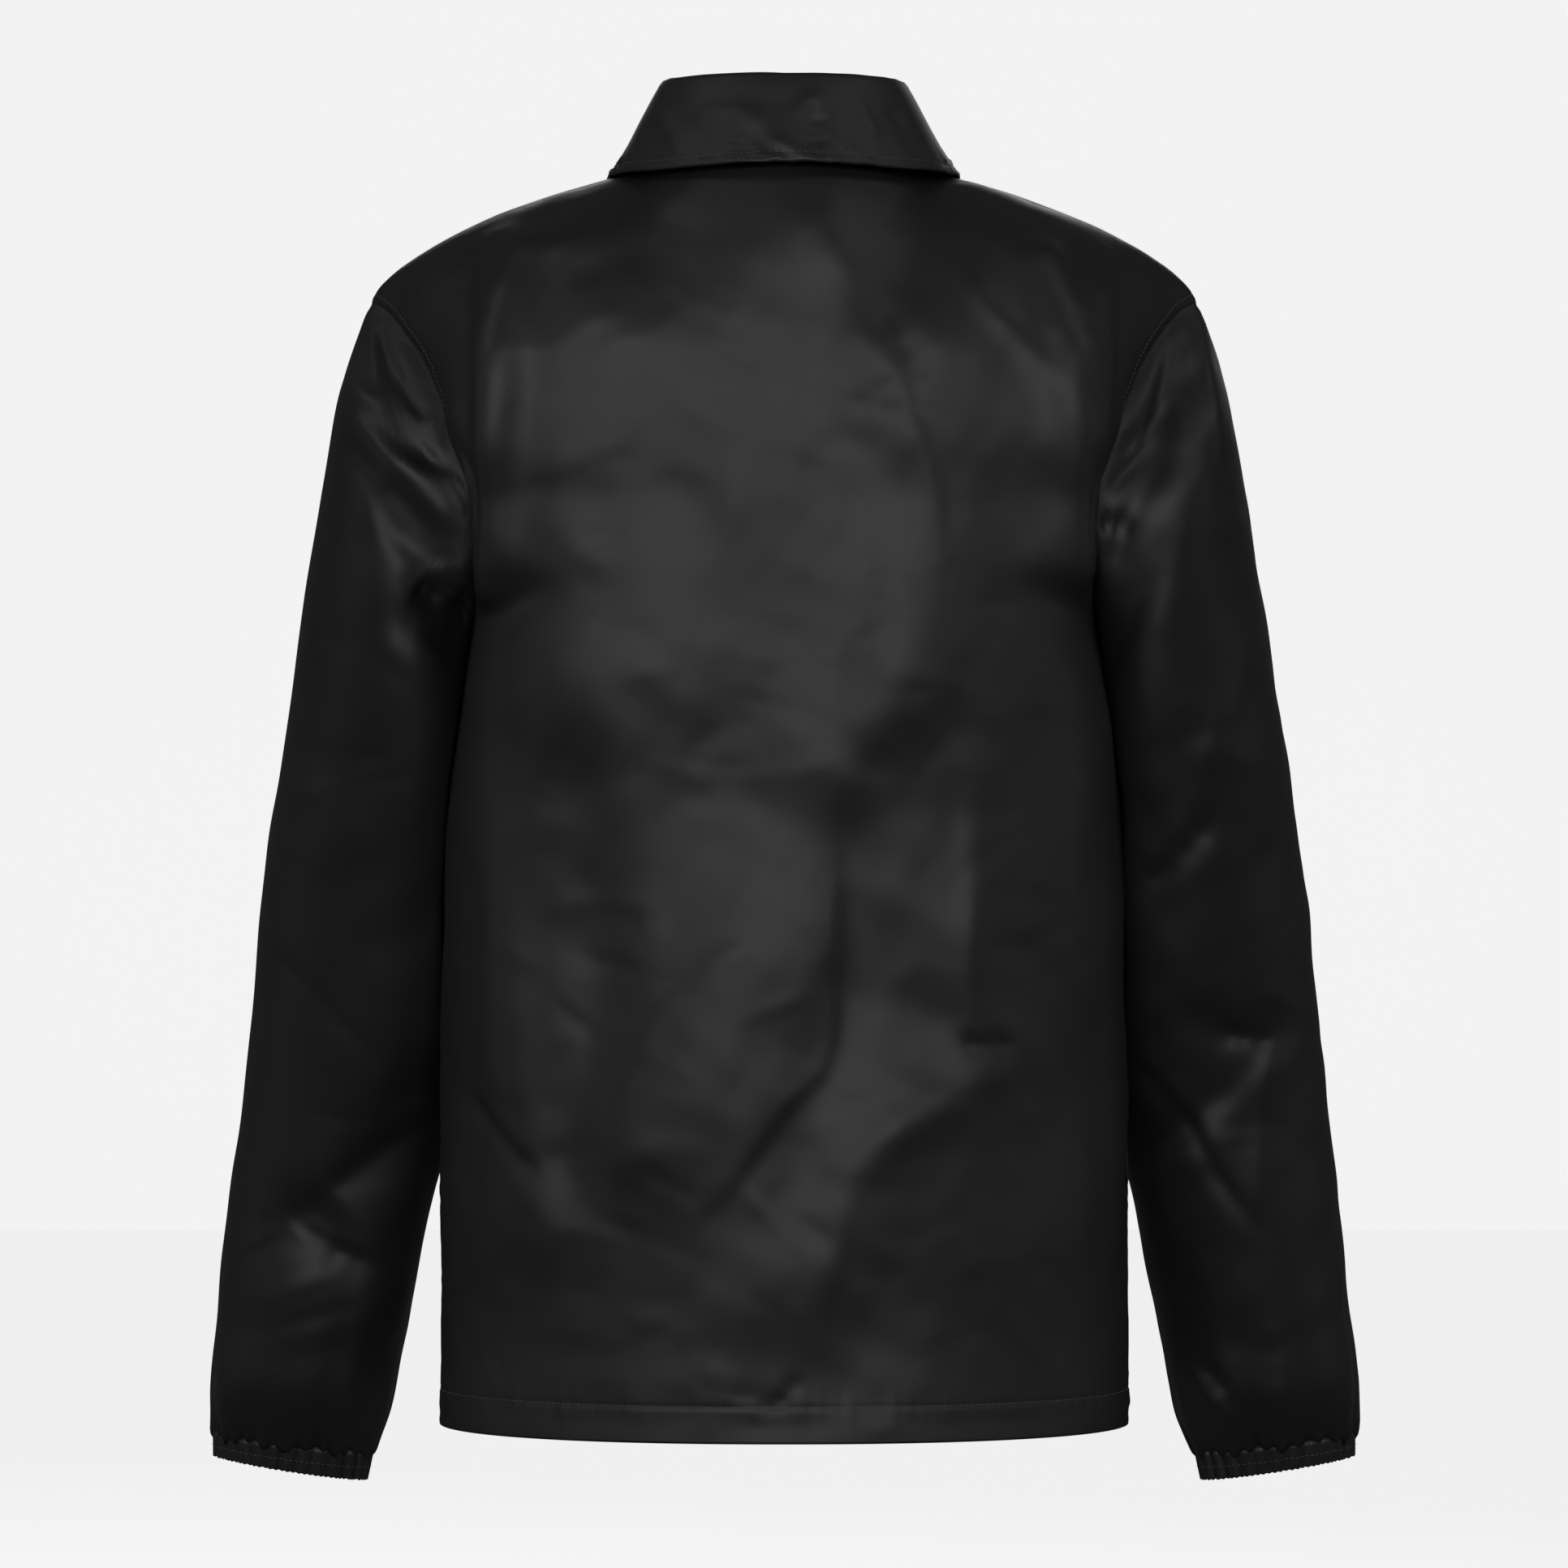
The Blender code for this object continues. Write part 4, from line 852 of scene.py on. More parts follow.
def ends_along(lengths, axis):
    """Distances of each point to the near and the far end of its row or column."""
    return lengths, np.take(lengths, [-1], axis=axis) - lengths


class Sheet:
    """A grid of outer points of one piece of cloth, with its normals.

    Tucked names the edges that are sewn under the next piece, as (axis, 0 for first or -1 for last)."""

    def __init__(self, points, normals, closed=False, tucked=()):
        self.points, self.normals, self.closed, self.tucked = points, normals, closed, tucked

    def with_allowances(self):
        """The points with one more row or column turned in behind each tucked edge."""
        points, normals = self.points, self.normals
        for axis, end in self.tucked:
            rows, facing = np.moveaxis(points, axis, 0), np.moveaxis(normals, axis, 0)
            onward = unit(rows[end] - rows[1 if end == 0 else -2])
            behind = rows[end] - facing[end] * TUCK_DEPTH + onward * TUCK_REACH
            parts = [behind[None], rows] if end == 0 else [rows, behind[None]]
            sides = [facing[:1], facing] if end == 0 else [facing, facing[-1:]]
            points = np.moveaxis(np.concatenate(parts), 0, axis)
            normals = np.moveaxis(np.concatenate(sides), 0, axis)
        return points, normals

    def line_at(self, distances, wanted, axis):
        """Points and normals where a distance grid reaches a value: one for each row (axis 1) or column."""
        grid, points, normals = distances, self.points, self.normals
        if axis == 0:
            grid, points, normals = grid.T, points.transpose(1, 0, 2), normals.transpose(1, 0, 2)
        found, facing = [], []
        for row, spots, directions in zip(grid, points, normals):
            order = np.argsort(row)
            found.append([np.interp(wanted, row[order], spots[order, i]) for i in range(3)])
            facing.append([np.interp(wanted, row[order], directions[order, i]) for i in range(3)])
        return np.array(found), unit(np.array(facing))


def cloth_piece(name, sheet, material):
    """A thin shell under a grid of outer points, in place of the node of the same name."""
    points, normals = sheet.with_allowances()
    rows, columns = points.shape[:2]
    work = bmesh.new()
    flat = work.loops.layers.uv.new("cut")
    bmesh.ops.create_grid(work, x_segments=columns - 1, y_segments=rows - 1, size=1.0)
    width, length = FLAT[name][:2]
    for face in work.faces:
        face.smooth = True
        for corner in face.loops:
            corner[flat].uv = ((corner.vert.co.x + 1) / 2 * width, (corner.vert.co.y + 1) / 2 * length)
    for vert in work.verts:
        column = round((vert.co.x + 1) / 2 * (columns - 1))
        row = round((vert.co.y + 1) / 2 * (rows - 1))
        vert.co = points[row, column]
    if sheet.closed:
        bmesh.ops.remove_doubles(work, verts=work.verts, dist=1e-6)
    work.normal_update()
    work.faces.ensure_lookup_table()
    sample = work.faces[len(work.faces) // 2]
    nearest = np.linalg.norm(points - np.array(sample.calc_center_median()), axis=-1)
    direction = normals.reshape(-1, 3)[nearest.argmin()]
    if sample.normal.dot(Vector(direction)) < 0:
        bmesh.ops.reverse_faces(work, faces=work.faces)
    piece = finish_mesh(name + "_cloth", work, material)
    shell = piece.modifiers.new("shell", "SOLIDIFY")
    shell.thickness = SHELL
    shell.offset = -1.0
    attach(piece, "root")
    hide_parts(name)
    return piece


def finish_mesh(name, work, material):
    data = bpy.data.meshes.new(name)
    work.to_mesh(data)
    work.free()
    data.materials.append(material)
    piece = bpy.data.objects.new(name, data)
    bpy.context.scene.collection.objects.link(piece)
    return piece


def stitches(name, rows, material):
    """Short threads end to end along each row of points, half sunk in the cloth."""
    thread = bmesh.new()
    bmesh.ops.create_uvsphere(thread, u_segments=6, v_segments=4, radius=1.0)
    for face in thread.faces:
        face.smooth = True
    one = bpy.data.meshes.new("one_stitch")
    thread.to_mesh(one)
    thread.free()
    work = bmesh.new()
    for points, normals in rows:
        line = Line(points)
        total = lengths_along(points)[-1]
        count = max(2, round(total / STITCH_PITCH))
        shares = (np.arange(count) + 0.5) / count
        middles = line.at(shares)
        along = unit(line.at(shares + 0.4 / count) - line.at(shares - 0.4 / count))
        facing = np.stack([np.interp(shares, line.shares, normals[:, i]) for i in range(3)], axis=-1)
        facing = square_to(facing, along)
        for middle, run, out in zip(middles, along, facing):
            aside = np.cross(out, run)
            turn = Matrix((run * STITCH_LENGTH / 2, aside * STITCH_RADIUS, out * STITCH_RADIUS)).transposed()
            place = Matrix.Translation(Vector(middle)) @ turn.to_4x4()
            one.transform(place)
            work.from_mesh(one)
            one.transform(place.inverted())
    bpy.data.meshes.remove(one)
    piece = finish_mesh(name, work, material)
    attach(piece, "root")
    return piece


def up_places(panel, parts):
    """Up values of the rows, from cell sizes along the middle of the panel."""
    fine = np.linspace(0.0, 1.0, FINE)
    lengths = lengths_along(panel.surface(np.full(FINE, 0.5), fine))
    return np.interp(places(parts) * lengths[-1], lengths, fine)


def panel_sheet(panel, acrosses, ups, creases, leans, seed):
    """Outer points of a body panel, with its creases, seams and hem."""
    shape = (len(ups), len(acrosses))
    across, up = np.tile(acrosses, shape[0]), np.repeat(ups, shape[1])
    middle = panel.surface(across, up).reshape(*shape, 3)
    normals = panel.normals(across, up).reshape(*shape, 3)
    low = ups <= UNDERARM_UP + 1e-9
    columns = [-1] if acrosses[0] > -0.9 else [0, -1]
    for column in columns:
        inwards = unit(middle[low, 1 if column == 0 else -2] - middle[low, column])
        middle[low, column] += inwards * SEAM_GAP / 2
        normals[low, column] = square_to(normals[low, column], Y_AXIS)
    shoulder = np.abs(acrosses) >= panel.half.neck_share - 1e-9
    middle[-1, shoulder, 1] += SEAM_GAP / 2 * panel.half.sign
    normals[-1, shoulder] = square_to(normals[-1, shoulder], Y_AXIS)

    from_first, from_last = ends_along(grid_lengths(middle, 1), 1)
    from_hem, from_top = ends_along(grid_lengths(middle, 0), 0)
    evened = smoothstep(*EVENING_START, from_top) * smoothstep(*EVENING_END, from_top)
    evened *= smoothstep(*EVENING_ASIDE, np.abs(np.abs(acrosses) - panel.half.neck_share))
    for _ in range(EVENING_ROUNDS):
        neighbours = (middle[:, :-2] + middle[:, 2:]) / 2
        middle[:, 1:-1] += (neighbours - middle[:, 1:-1]) * (0.5 * evened[:, 1:-1, None])
    facing = smoothstep(*CREASE_FACING, np.abs(normals[..., 1]))
    edges = smoothstep(0.0, PANEL_EDGE_FADE, np.minimum(from_hem, from_top))
    strewn = crumples(seed, BODY_CRUMPLES, *BODY_BOX)
    height = (crease_height(middle, creases + strewn) + lean_height(middle, leans)) * facing * edges
    height += ripple_height(middle, seed) * edges
    sides = from_last if len(columns) == 1 else np.minimum(from_first, from_last)
    height += dip(sides, SEAM_DIP, SEAM_REACH) + dip(from_top, SEAM_DIP, SEAM_REACH)
    height += pucker_height(from_hem, sides, seed)
    beside_armhole = up.reshape(shape) > UNDERARM_UP
    height += dip(sides - ARMHOLE_TOPSTITCH, GROOVE_DEPTH, GROOVE_REACH) * beside_armhole
    height += dip(from_hem - HEM_TOPSTITCH, GROOVE_DEPTH, GROOVE_REACH)
    height += pucker_height(from_first, from_hem - HEM_TOPSTITCH, seed + 5)
    height += HEM_RAISE * smoothstep(HEM_TOPSTITCH, HEM_TOPSTITCH - HEM_STEP, from_hem)
    if len(columns) == 1:
        height += dip(from_first - FRONT_TOPSTITCH, GROOVE_DEPTH, GROOVE_REACH)
    tucked = ((1, 0), (1, -1), (0, -1)) if len(columns) == 2 else ()
    sheet = Sheet(middle + normals * (WALL / 2 + height)[..., None], normals, tucked=tucked)
    sheet.from_first, sheet.from_last, sheet.from_hem = from_first, from_last, from_hem
    return sheet


def sleeve_sheet(sleeve, back_edge, front_edge, creases, leans, seed):
    """Outer points of a sleeve. Its first row meets the outer edges of the back and the front."""
    arounds = np.linspace(0.5, 1.5, SLEEVE_COLUMNS + 1)
    downs = places(SLEEVE_ROWS)
    shape = (len(downs), len(arounds))
    around, down = np.tile(arounds, shape[0]), np.repeat(downs, shape[1])
    middle = sleeve.surface(around, down).reshape(*shape, 3)
    normals = sleeve.normals(around, down).reshape(*shape, 3)
    normals[:, -1] = normals[:, 0]
    from_top, from_cuff = ends_along(grid_lengths(middle, 0), 0)
    from_first, from_last = ends_along(grid_lengths(middle, 1), 1)
    away = np.minimum(from_first, from_last)
    behind = smoothstep(*CREASE_FACING, normals[..., 1])
    before = smoothstep(*CREASE_FACING, -normals[..., 1])
    above = middle[..., 2] > BESIDE_ARMHOLE_Z
    beside_body = middle[..., 0] * sleeve.side - BESIDE_BODY_X + BESIDE_ARMHOLE * above
    clear_of_body = smoothstep(*BESIDE_FADE, beside_body)
    low, high = sorted(sleeve.side * x for x in SLEEVE_BOX_X)
    strewn = crumples(seed, SLEEVE_CRUMPLES, (low, SLEEVE_BOX_Z[0]), (high, SLEEVE_BOX_Z[1]))
    height = crease_height(middle, creases + strewn) + lean_height(middle, leans)
    height = height * (behind + before * FRONT_SIDE_SHARE)
    ends = smoothstep(0.0, SLEEVE_EDGE_FADE, np.minimum(from_top, from_cuff))
    height = (height + ripple_height(middle, seed)) * ends
    height *= np.where(height > 0.0, clear_of_body, 1.0)
    height += dip(away, SLEEVE_SEAM_DIP, SLEEVE_SEAM_REACH) + dip(from_cuff, CUFF_SEAM_DIP, SLEEVE_SEAM_REACH)
    height += pucker_height(from_first, from_top, seed) * smoothstep(0.0, 0.004, from_top)
    height *= np.where(from_top < 1e-9, 0.0, 1.0)
    points = middle + normals * (WALL / 2 + height)[..., None]
    turn = np.mod(arounds, 1.0)
    edge = np.where((turn <= 0.5)[:, None], back_edge.at(turn * 2), front_edge.at(turn * 2 - 1))
    onward = unit(points[2] - points[0])
    shift = edge + onward * SEAM_GAP - points[0]
    points += shift[None] * np.exp(-((from_top / ARMHOLE_BLEND) ** 2))[..., None]
    points[:, -1] = points[:, 0]
    sheet = Sheet(points, normals, closed=True, tucked=((0, 0), (0, -1)))
    sheet.from_top, sheet.from_cuff = from_top, from_cuff
    return sheet


def armhole_line(sheet, first, ups):
    """Outer edge of a body panel from the shoulder tip (0) to the underarm (1)."""
    rows = ups >= UNDERARM_UP - 1e-9
    return Line(sheet.points[rows, 0 if first else -1][::-1])


def cuff_sheet(side):
    """Outer points of an elastic cuff, gathered, with a finely scalloped edge."""
    row = RINGS[-1]
    outer = np.array([row.outer_x * side, row.middle_y, row.outer_z])
    inner = np.array([row.inner_x * side, row.middle_y, row.inner_z])
    middle, across = (outer + inner) / 2, unit(outer - inner)
    down = np.cross(across, Y_AXIS)
    down *= -np.sign(down[2])
    outer_end = outer + np.array([CUFF_OUTER_DROP[0] * side, 0.0, CUFF_OUTER_DROP[1]])
    inner_end = inner + np.array([CUFF_INNER_DROP[0] * side, 0.0, CUFF_INNER_DROP[1]])
    start_width = np.linalg.norm(outer - inner) / 2
    end_width = np.linalg.norm(outer_end - inner_end) / 2
    turn = np.linspace(0.0, 2 * math.pi, CUFF_COLUMNS + 1)
    cosine, sine = np.cos(turn)[:, None], np.sin(turn)[:, None]
    bend = 0.5 * np.sin(3 * turn + side) + 0.4 * np.sin(7 * turn)
    radial = unit(cosine * across * row.half_depth + sine * Y_AXIS * start_width)
    points = []
    for share in np.linspace(0.0, 1.0, CUFF_ROWS):
        centre = middle + down * SEAM_GAP + ((outer_end + inner_end) / 2 - middle) * share
        lean = unit(across + (unit(outer_end - inner_end) - across) * share)
        wide = start_width + (end_width - start_width) * share
        ring = centre + cosine * lean * wide + sine * Y_AXIS * row.half_depth
        wave = np.cos(CUFF_GATHERS * turn + bend + CUFF_SLANT * share * np.sin(4 * turn + side))
        wave = (wave - 0.35 * wave * wave) * (0.75 + 0.35 * np.sin(5 * turn + 1.0))
        ring = ring - sine * Y_AXIS * (CUFF_TAPER * share)
        ring = ring + radial * (CUFF_GATHER_DEPTH * wave + WALL / 2)[:, None]
        ring = ring + down * (CUFF_SCALLOP * share**6 * np.cos(CUFF_SCALLOPS * turn))[:, None]
        points.append(ring)
    points = np.array(points)
    points[:, -1] = points[:, 0]
    normals = np.array([radial] * CUFF_ROWS)
    return Sheet(points, normals, closed=True, tucked=((0, 0),))


def neck_edge(panel, side, count):
    """Points along the neck seam of one side of a panel, from the centre line to the neck side."""
    acrosses = np.linspace(0.0, panel.half.neck_share, count) * side * panel.side
    return panel.surface(acrosses, np.ones(count))


def collar_row(place):
    table = np.array(COLLAR)
    return Collar(*curve_through(table[:, 0], table, [place])[0])


def collar_section(seam, out, row, side):
    """Section of the collar above one point of the neck seam: stand, fold and fall."""
    radius = COLLAR_FOLD_RADIUS
    fold = seam + out * row.fold_out + Z_AXIS * row.fold_up
    section = [seam, seam + (fold - out * radius - seam) * 0.5, fold - out * radius]
    for turn in (0.33, 0.67, 1.0):
        angle = math.pi * (1 - turn)
        section.append(fold + out * radius * math.cos(angle) + Z_AXIS * radius * math.sin(angle))
    towards_arm = np.array([-out[1], out[0], 0.0]) * side
    edge = seam + out * row.edge_out + Z_AXIS * row.edge_up + towards_arm * row.edge_aside
    start = section[-1]
    for share in (0.33, 0.67, 1.0):
        section.append(start + (edge - start) * share)
    return np.array(section)


def settle_outside(point, tree, distance):
    """The point, or where it comes to lie if it has to be this far outside the body."""
    nearest, normal, _, _ = tree.find_nearest(Vector(point))
    away = (Vector(point) - nearest).dot(normal)
    return point + np.array(normal) * max(distance - away, 0.0)


def collar_sheet(back, fronts, tree):
    """Outer points of the collar, from the right front end round the back to the left one."""
    halves = []
    for side, front in fronts:
        back_points = neck_edge(back, side, COLLAR_COLUMNS_BACK)
        front_points = neck_edge(front, side, COLLAR_COLUMNS_FRONT)
        front_points[0] += (front_points[1] - front_points[0]) * COLLAR_FRONT_GAP / abs(front_points[1, 0])
        seam = np.concatenate([back_points, front_points[-2::-1]])
        shares = lengths_along(seam) / lengths_along(seam)[-1]
        edge = np.gradient(seam, axis=0)
        out = np.stack([edge[:, 1], -edge[:, 0], np.zeros(len(edge))], axis=-1) * -side
        out[0], out[-1] = Y_AXIS, -Y_AXIS
        half = []
        for place, start, away in zip(shares, seam, unit(out)):
            section = collar_section(start, away, collar_row(place), side)
            for k in range(COLLAR_FALL_START, len(section)):
                section[k] = settle_outside(section[k], tree, COLLAR_CLEARANCE)
            knots = lengths_along(section) / lengths_along(section)[-1]
            half.append(curve_through(knots, section, np.linspace(0.0, 1.0, COLLAR_ROWS)))
        halves.append(np.array(half).transpose(1, 0, 2))
    left, right = halves
    middle = np.concatenate([right[:, :0:-1], left], axis=1)
    normals = unit(np.cross(np.gradient(middle, axis=1), np.gradient(middle, axis=0)))
    from_seam, from_edge = ends_along(grid_lengths(middle, 0), 0)
    from_first, from_last = ends_along(grid_lengths(middle, 1), 1)
    ends = np.minimum(from_first, from_last)
    height = crease_height(middle, COLLAR_CREASES) * smoothstep(0.0, 0.4, normals[..., 1])
    height += ripple_height(middle, COLLAR_SEED) * COLLAR_RIPPLE * smoothstep(0.0, 0.01, from_seam)
    edge_distance = np.minimum(from_edge, ends)
    height += dip(edge_distance - COLLAR_TOPSTITCH, GROOVE_DEPTH, GROOVE_REACH)
    from_stitches = edge_distance - COLLAR_TOPSTITCH
    height += pucker_height(from_first, from_stitches, COLLAR_PUCKER_SEED) * COLLAR_PUCKER
    height += dip(edge_distance, COLLAR_EDGE_DIP, COLLAR_EDGE_REACH)
    sheet = Sheet(middle + normals * (WALL / 2 + height)[..., None], normals, tucked=((0, 0),))
    sheet.from_edge, sheet.ends = from_edge, ends
    return sheet


def body_tree(sheets):
    """The body's outer cloth, for finding how far a point is from it."""
    corners, faces = [], []
    for sheet, flip in sheets:
        points = sheet[::TREE_STRIDE, ::TREE_STRIDE]
        rows, columns = points.shape[:2]
        start = len(corners)
        corners.extend(Vector(p) for p in points.reshape(-1, 3))
        for r in range(rows - 1):
            for c in range(columns - 1):
                face = [start + r * columns + c, start + r * columns + c + 1]
                face += [start + (r + 1) * columns + c + 1, start + (r + 1) * columns + c]
                faces.append(face[::-1] if flip else face)
    return BVHTree.FromPolygons(corners, faces)


def node(tree, kind, **values):
    made = tree.nodes.new(kind)
    for name, value in values.items():
        if name in made.inputs:
            made.inputs[name].default_value = value
        else:
            setattr(made, name, value)
    return made


def new_material(name):
    material = bpy.data.materials.new(name)
    material.use_nodes = True
    return material, material.node_tree, material.node_tree.nodes["Principled BSDF"]


def object_noise(tree, **values):
    """Noise on object coordinates."""
    noise = node(tree, "ShaderNodeTexNoise", **values)
    place = node(tree, "ShaderNodeTexCoord")
    tree.links.new(place.outputs["Object"], noise.inputs["Vector"])
    return noise


def vary_colour(tree, factor, colours, socket):
    """The colour goes from the first to the second one as the factor goes from 0 to 1."""
    mix = node(tree, "ShaderNodeMix", data_type="RGBA")
    mix.inputs[6].default_value, mix.inputs[7].default_value = colours
    tree.links.new(factor.outputs["Fac"], mix.inputs[0])
    tree.links.new(mix.outputs[2], socket)


def vary_value(tree, factor, low, high, socket):
    spread = node(tree, "ShaderNodeMapRange")
    spread.inputs["To Min"].default_value = low
    spread.inputs["To Max"].default_value = high
    tree.links.new(factor.outputs["Fac"], spread.inputs["Value"])
    tree.links.new(spread.outputs["Result"], socket)


def satin_nylon():
    """Black satin nylon: a smooth face with a fine grain, and a slightly uneven gloss."""
    material, tree, shader = new_material("black_satin_nylon")
    shader.inputs["Anisotropic"].default_value = SATIN_STRETCH
    across_warp = node(tree, "ShaderNodeTangent", direction_type="UV_MAP", uv_map="cut")
    tree.links.new(across_warp.outputs["Tangent"], shader.inputs["Tangent"])
    grain = object_noise(tree, Scale=2200.0, Detail=2.0, Roughness=0.6)
    cloud = object_noise(tree, Scale=14.0, Detail=3.0, Roughness=0.5)
    vary_colour(tree, grain, NYLON_COLOURS, shader.inputs["Base Color"])
    vary_value(tree, cloud, *NYLON_ROUGHNESS, shader.inputs["Roughness"])
    cut = node(tree, "ShaderNodeUVMap", uv_map="cut")
    ribs = node(tree, "ShaderNodeTexWave", Scale=1100.0, Distortion=0.6, Detail=1.0)
    ribs.bands_direction = "Y"
    tree.links.new(cut.outputs["UV"], ribs.inputs["Vector"])
    both = node(tree, "ShaderNodeMath", operation="ADD")
    tree.links.new(grain.outputs["Fac"], both.inputs[0])
    tree.links.new(ribs.outputs["Fac"], both.inputs[1])
    bump = node(tree, "ShaderNodeBump", Strength=0.12, Distance=0.0001)
    tree.links.new(both.outputs["Value"], bump.inputs["Height"])
    tree.links.new(bump.outputs["Normal"], shader.inputs["Normal"])
    return material


def sewing_thread():
    """Black sewing thread, a little duller than the cloth."""
    material, tree, shader = new_material("black_thread")
    shader.inputs["Roughness"].default_value = THREAD_ROUGHNESS
    twist = object_noise(tree, Scale=1800.0, Detail=1.0)
    vary_colour(tree, twist, THREAD_COLOURS, shader.inputs["Base Color"])
    return material


def snap_paint():
    """Black painted snap cap with a faint unevenness from handling."""
    material, tree, shader = new_material("black_snap_paint")
    shader.inputs["Base Color"].default_value = SNAP_COLOUR
    wear = object_noise(tree, Scale=420.0, Detail=3.0)
    vary_value(tree, wear, *SNAP_ROUGHNESS, shader.inputs["Roughness"])
    return material


def studio():
    """Pale floor and backdrop, soft light from behind the camera, and the camera of the photograph."""
    paper, _, shader = new_material("pale_paper")
    shader.inputs["Base Color"].default_value = PAPER_COLOUR
    shader.inputs["Roughness"].default_value = PAPER_ROUGHNESS
    shader.inputs["Emission Color"].default_value = WHITE
    shader.inputs["Emission Strength"].default_value = PAPER_GLOW
    work = bmesh.new()
    side = [(FLOOR_END_Y, FLOOR_Z)]
    side += [(BACKDROP_Y + away, FLOOR_Z + above) for away, above in BACKDROP_CURVE]
    side.append((BACKDROP_Y, BACKDROP_TOP))
    corners = [(-FLOOR_HALF_WIDTH, y, z) for y, z in side]
    line = [work.verts.new(corner) for corner in corners]
    edges = [work.edges.new(pair) for pair in zip(line[:-1], line[1:])]
    swept = bmesh.ops.extrude_edge_only(work, edges=edges)
    moved = [item for item in swept["geom"] if isinstance(item, bmesh.types.BMVert)]
    bmesh.ops.translate(work, verts=moved, vec=(2 * FLOOR_HALF_WIDTH, 0.0, 0.0))
    bmesh.ops.recalc_face_normals(work, faces=work.faces)
    floor = finish_mesh("pale_floor", work, paper)
    floor.visible_diffuse = False
    floor.visible_glossy = False

    for lamp in LAMPS:
        light = bpy.data.lights.new(lamp.name, "AREA")
        light.shape = "RECTANGLE"
        light.size, light.size_y = lamp.width, lamp.height
        light.energy = lamp.power
        stand = bpy.data.objects.new(lamp.name, light)
        stand.location = lamp.place
        stand.visible_camera = False
        aim = Vector(LAMP_TARGET) - Vector(lamp.place)
        stand.rotation_euler = aim.to_track_quat("-Z", "Y").to_euler()
        bpy.context.scene.collection.objects.link(stand)

    world = bpy.data.worlds.new("studio")
    world.use_nodes = True
    sky = world.node_tree.nodes["Background"]
    sky.inputs["Color"].default_value = WHITE
    sky.inputs["Strength"].default_value = WORLD_LIGHT
    bpy.context.scene.world = world
    bpy.context.scene.view_settings.view_transform = "Standard"

    lens = bpy.data.cameras.new("photograph")
    lens.lens = CAMERA_LENS
    lens.sensor_width = CAMERA_SENSOR
    camera = bpy.data.objects.new("photograph", lens)
    camera.location = CAMERA_PLACE
    camera.rotation_euler = (math.radians(90), 0.0, math.radians(180))
    bpy.context.scene.collection.objects.link(camera)
    bpy.context.scene.camera = camera


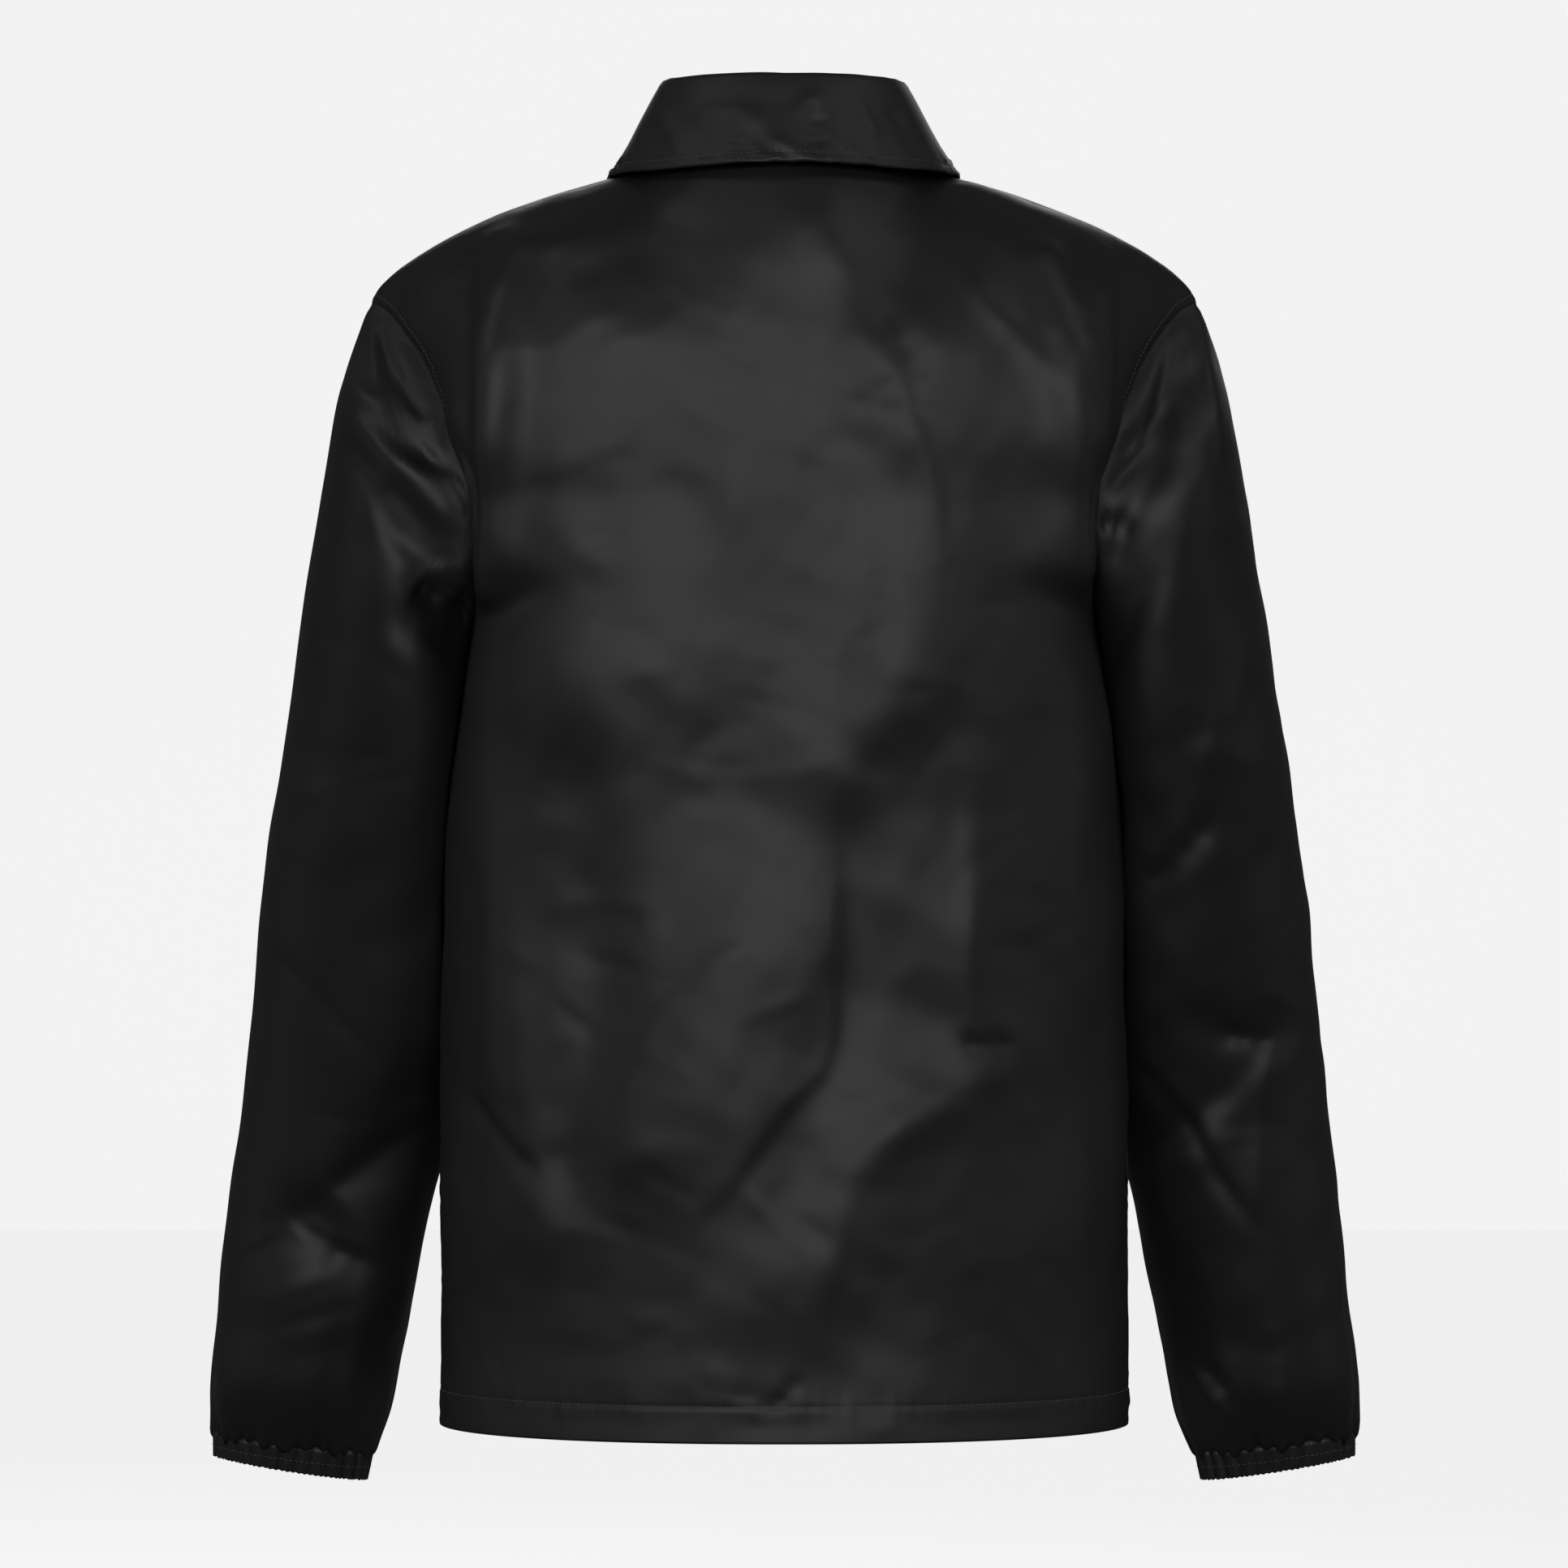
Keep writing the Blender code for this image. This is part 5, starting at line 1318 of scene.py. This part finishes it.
def shape_all():
    """Every piece of cloth as a sheet, by the name of its node, in the order of making."""
    back_half, front_half = Half_body(1), Half_body(-1)
    back = Panel(back_half, 1, BACK_FOLDS)
    front_left = Panel(front_half, 1, FRONT_FOLDS, overlap=OVERLAP_STEP / 2)
    front_right = Panel(front_half, -1, FRONT_FOLDS, overlap=-OVERLAP_STEP / 2)
    ups = up_places(back, PANEL_ROWS)
    edge = places(PANEL_COLUMNS)
    back_acrosses = np.concatenate([-edge[:0:-1], edge])
    overlap = np.linspace(-OVERLAP_ACROSS, 0.0, OVERLAP_COLUMNS + 1)[:-1]
    front_acrosses = np.concatenate([overlap, edge])

    back_sheet = panel_sheet(back, back_acrosses, ups, BACK_CREASES, BACK_LEANS, BACK_SEED)
    left_sheet, right_sheet = (
        panel_sheet(front, front_acrosses, ups, FRONT_CREASES, FRONT_LEANS, FRONT_SEED)
        for front in (front_left, front_right))
    sheets = {"back": back_sheet, "front_left": left_sheet, "front_right": right_sheet}

    sleeves = (
        ("sleeve_left", 1, front_left, left_sheet, LEFT_SLEEVE_FOLDS, LEFT_SLEEVE_CREASES,
         LEFT_SLEEVE_LEANS, LEFT_SLEEVE_SEED),
        ("sleeve_right", -1, front_right, right_sheet, RIGHT_SLEEVE_FOLDS, RIGHT_SLEEVE_CREASES,
         RIGHT_SLEEVE_LEANS, RIGHT_SLEEVE_SEED),
    )
    for name, side, front, front_sheet, folds, creases, leans, seed in sleeves:
        sleeve = Sleeve(side, back, front, folds)
        behind = armhole_line(back_sheet, side < 0, ups)
        before = Line(armhole_line(front_sheet, False, ups).points[::-1])
        sheets[name] = sleeve_sheet(sleeve, behind, before, creases, leans, seed)
    sheets["cuff_left"], sheets["cuff_right"] = cuff_sheet(1), cuff_sheet(-1)

    middles = [(sheet.points - sheet.normals * WALL / 2, flip)
               for sheet, flip in ((back_sheet, True), (left_sheet, False), (right_sheet, True))]
    sheets["collar"] = collar_sheet(back, ((1, front_left), (-1, front_right)), body_tree(middles))
    return sheets, ups


def sew(sheets, ups, thread):
    """All rows of stitches."""
    back, left, right, collar = (sheets[name] for name in ("back", "front_left", "front_right", "collar"))
    above = ups >= UNDERARM_UP
    rows = []
    for sheet, grid in ((back, back.from_first), (back, back.from_last),
                        (left, left.from_last), (right, right.from_last)):
        points, normals = sheet.line_at(grid, ARMHOLE_TOPSTITCH, 1)
        rows.append((points[above], normals[above]))
    stitches("armhole_stitches", rows, thread)
    rows = [sheet.line_at(sheet.from_hem, HEM_TOPSTITCH, 0) for sheet in (back, left, right)]
    stitches("hem_stitches", rows, thread)
    rows = [sheet.line_at(sheet.from_first, FRONT_TOPSTITCH, 1) for sheet in (left, right)]
    stitches("front_stitches", rows, thread)
    points, normals = collar.line_at(collar.from_edge, COLLAR_TOPSTITCH, 0)
    inner = collar.ends.min(axis=0) > COLLAR_TOPSTITCH
    stitches("collar_stitches", [(points[inner], normals[inner])], thread)
    rows = [(sheet.points[CUFF_STITCH_ROW], sheet.normals[CUFF_STITCH_ROW])
            for sheet in (sheets["cuff_left"], sheets["cuff_right"])]
    stitches("cuff_stitches", rows, thread)


def main():
    satin, thread, paint = satin_nylon(), sewing_thread(), snap_paint()
    sheets, ups = shape_all()
    for name, sheet in sheets.items():
        piece = cloth_piece(name, sheet, satin)
    sew(sheets, ups, thread)
    for name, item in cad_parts.items():
        if name.startswith("snap"):
            item.data.materials.clear()
            item.data.materials.append(paint)
    studio()


main()
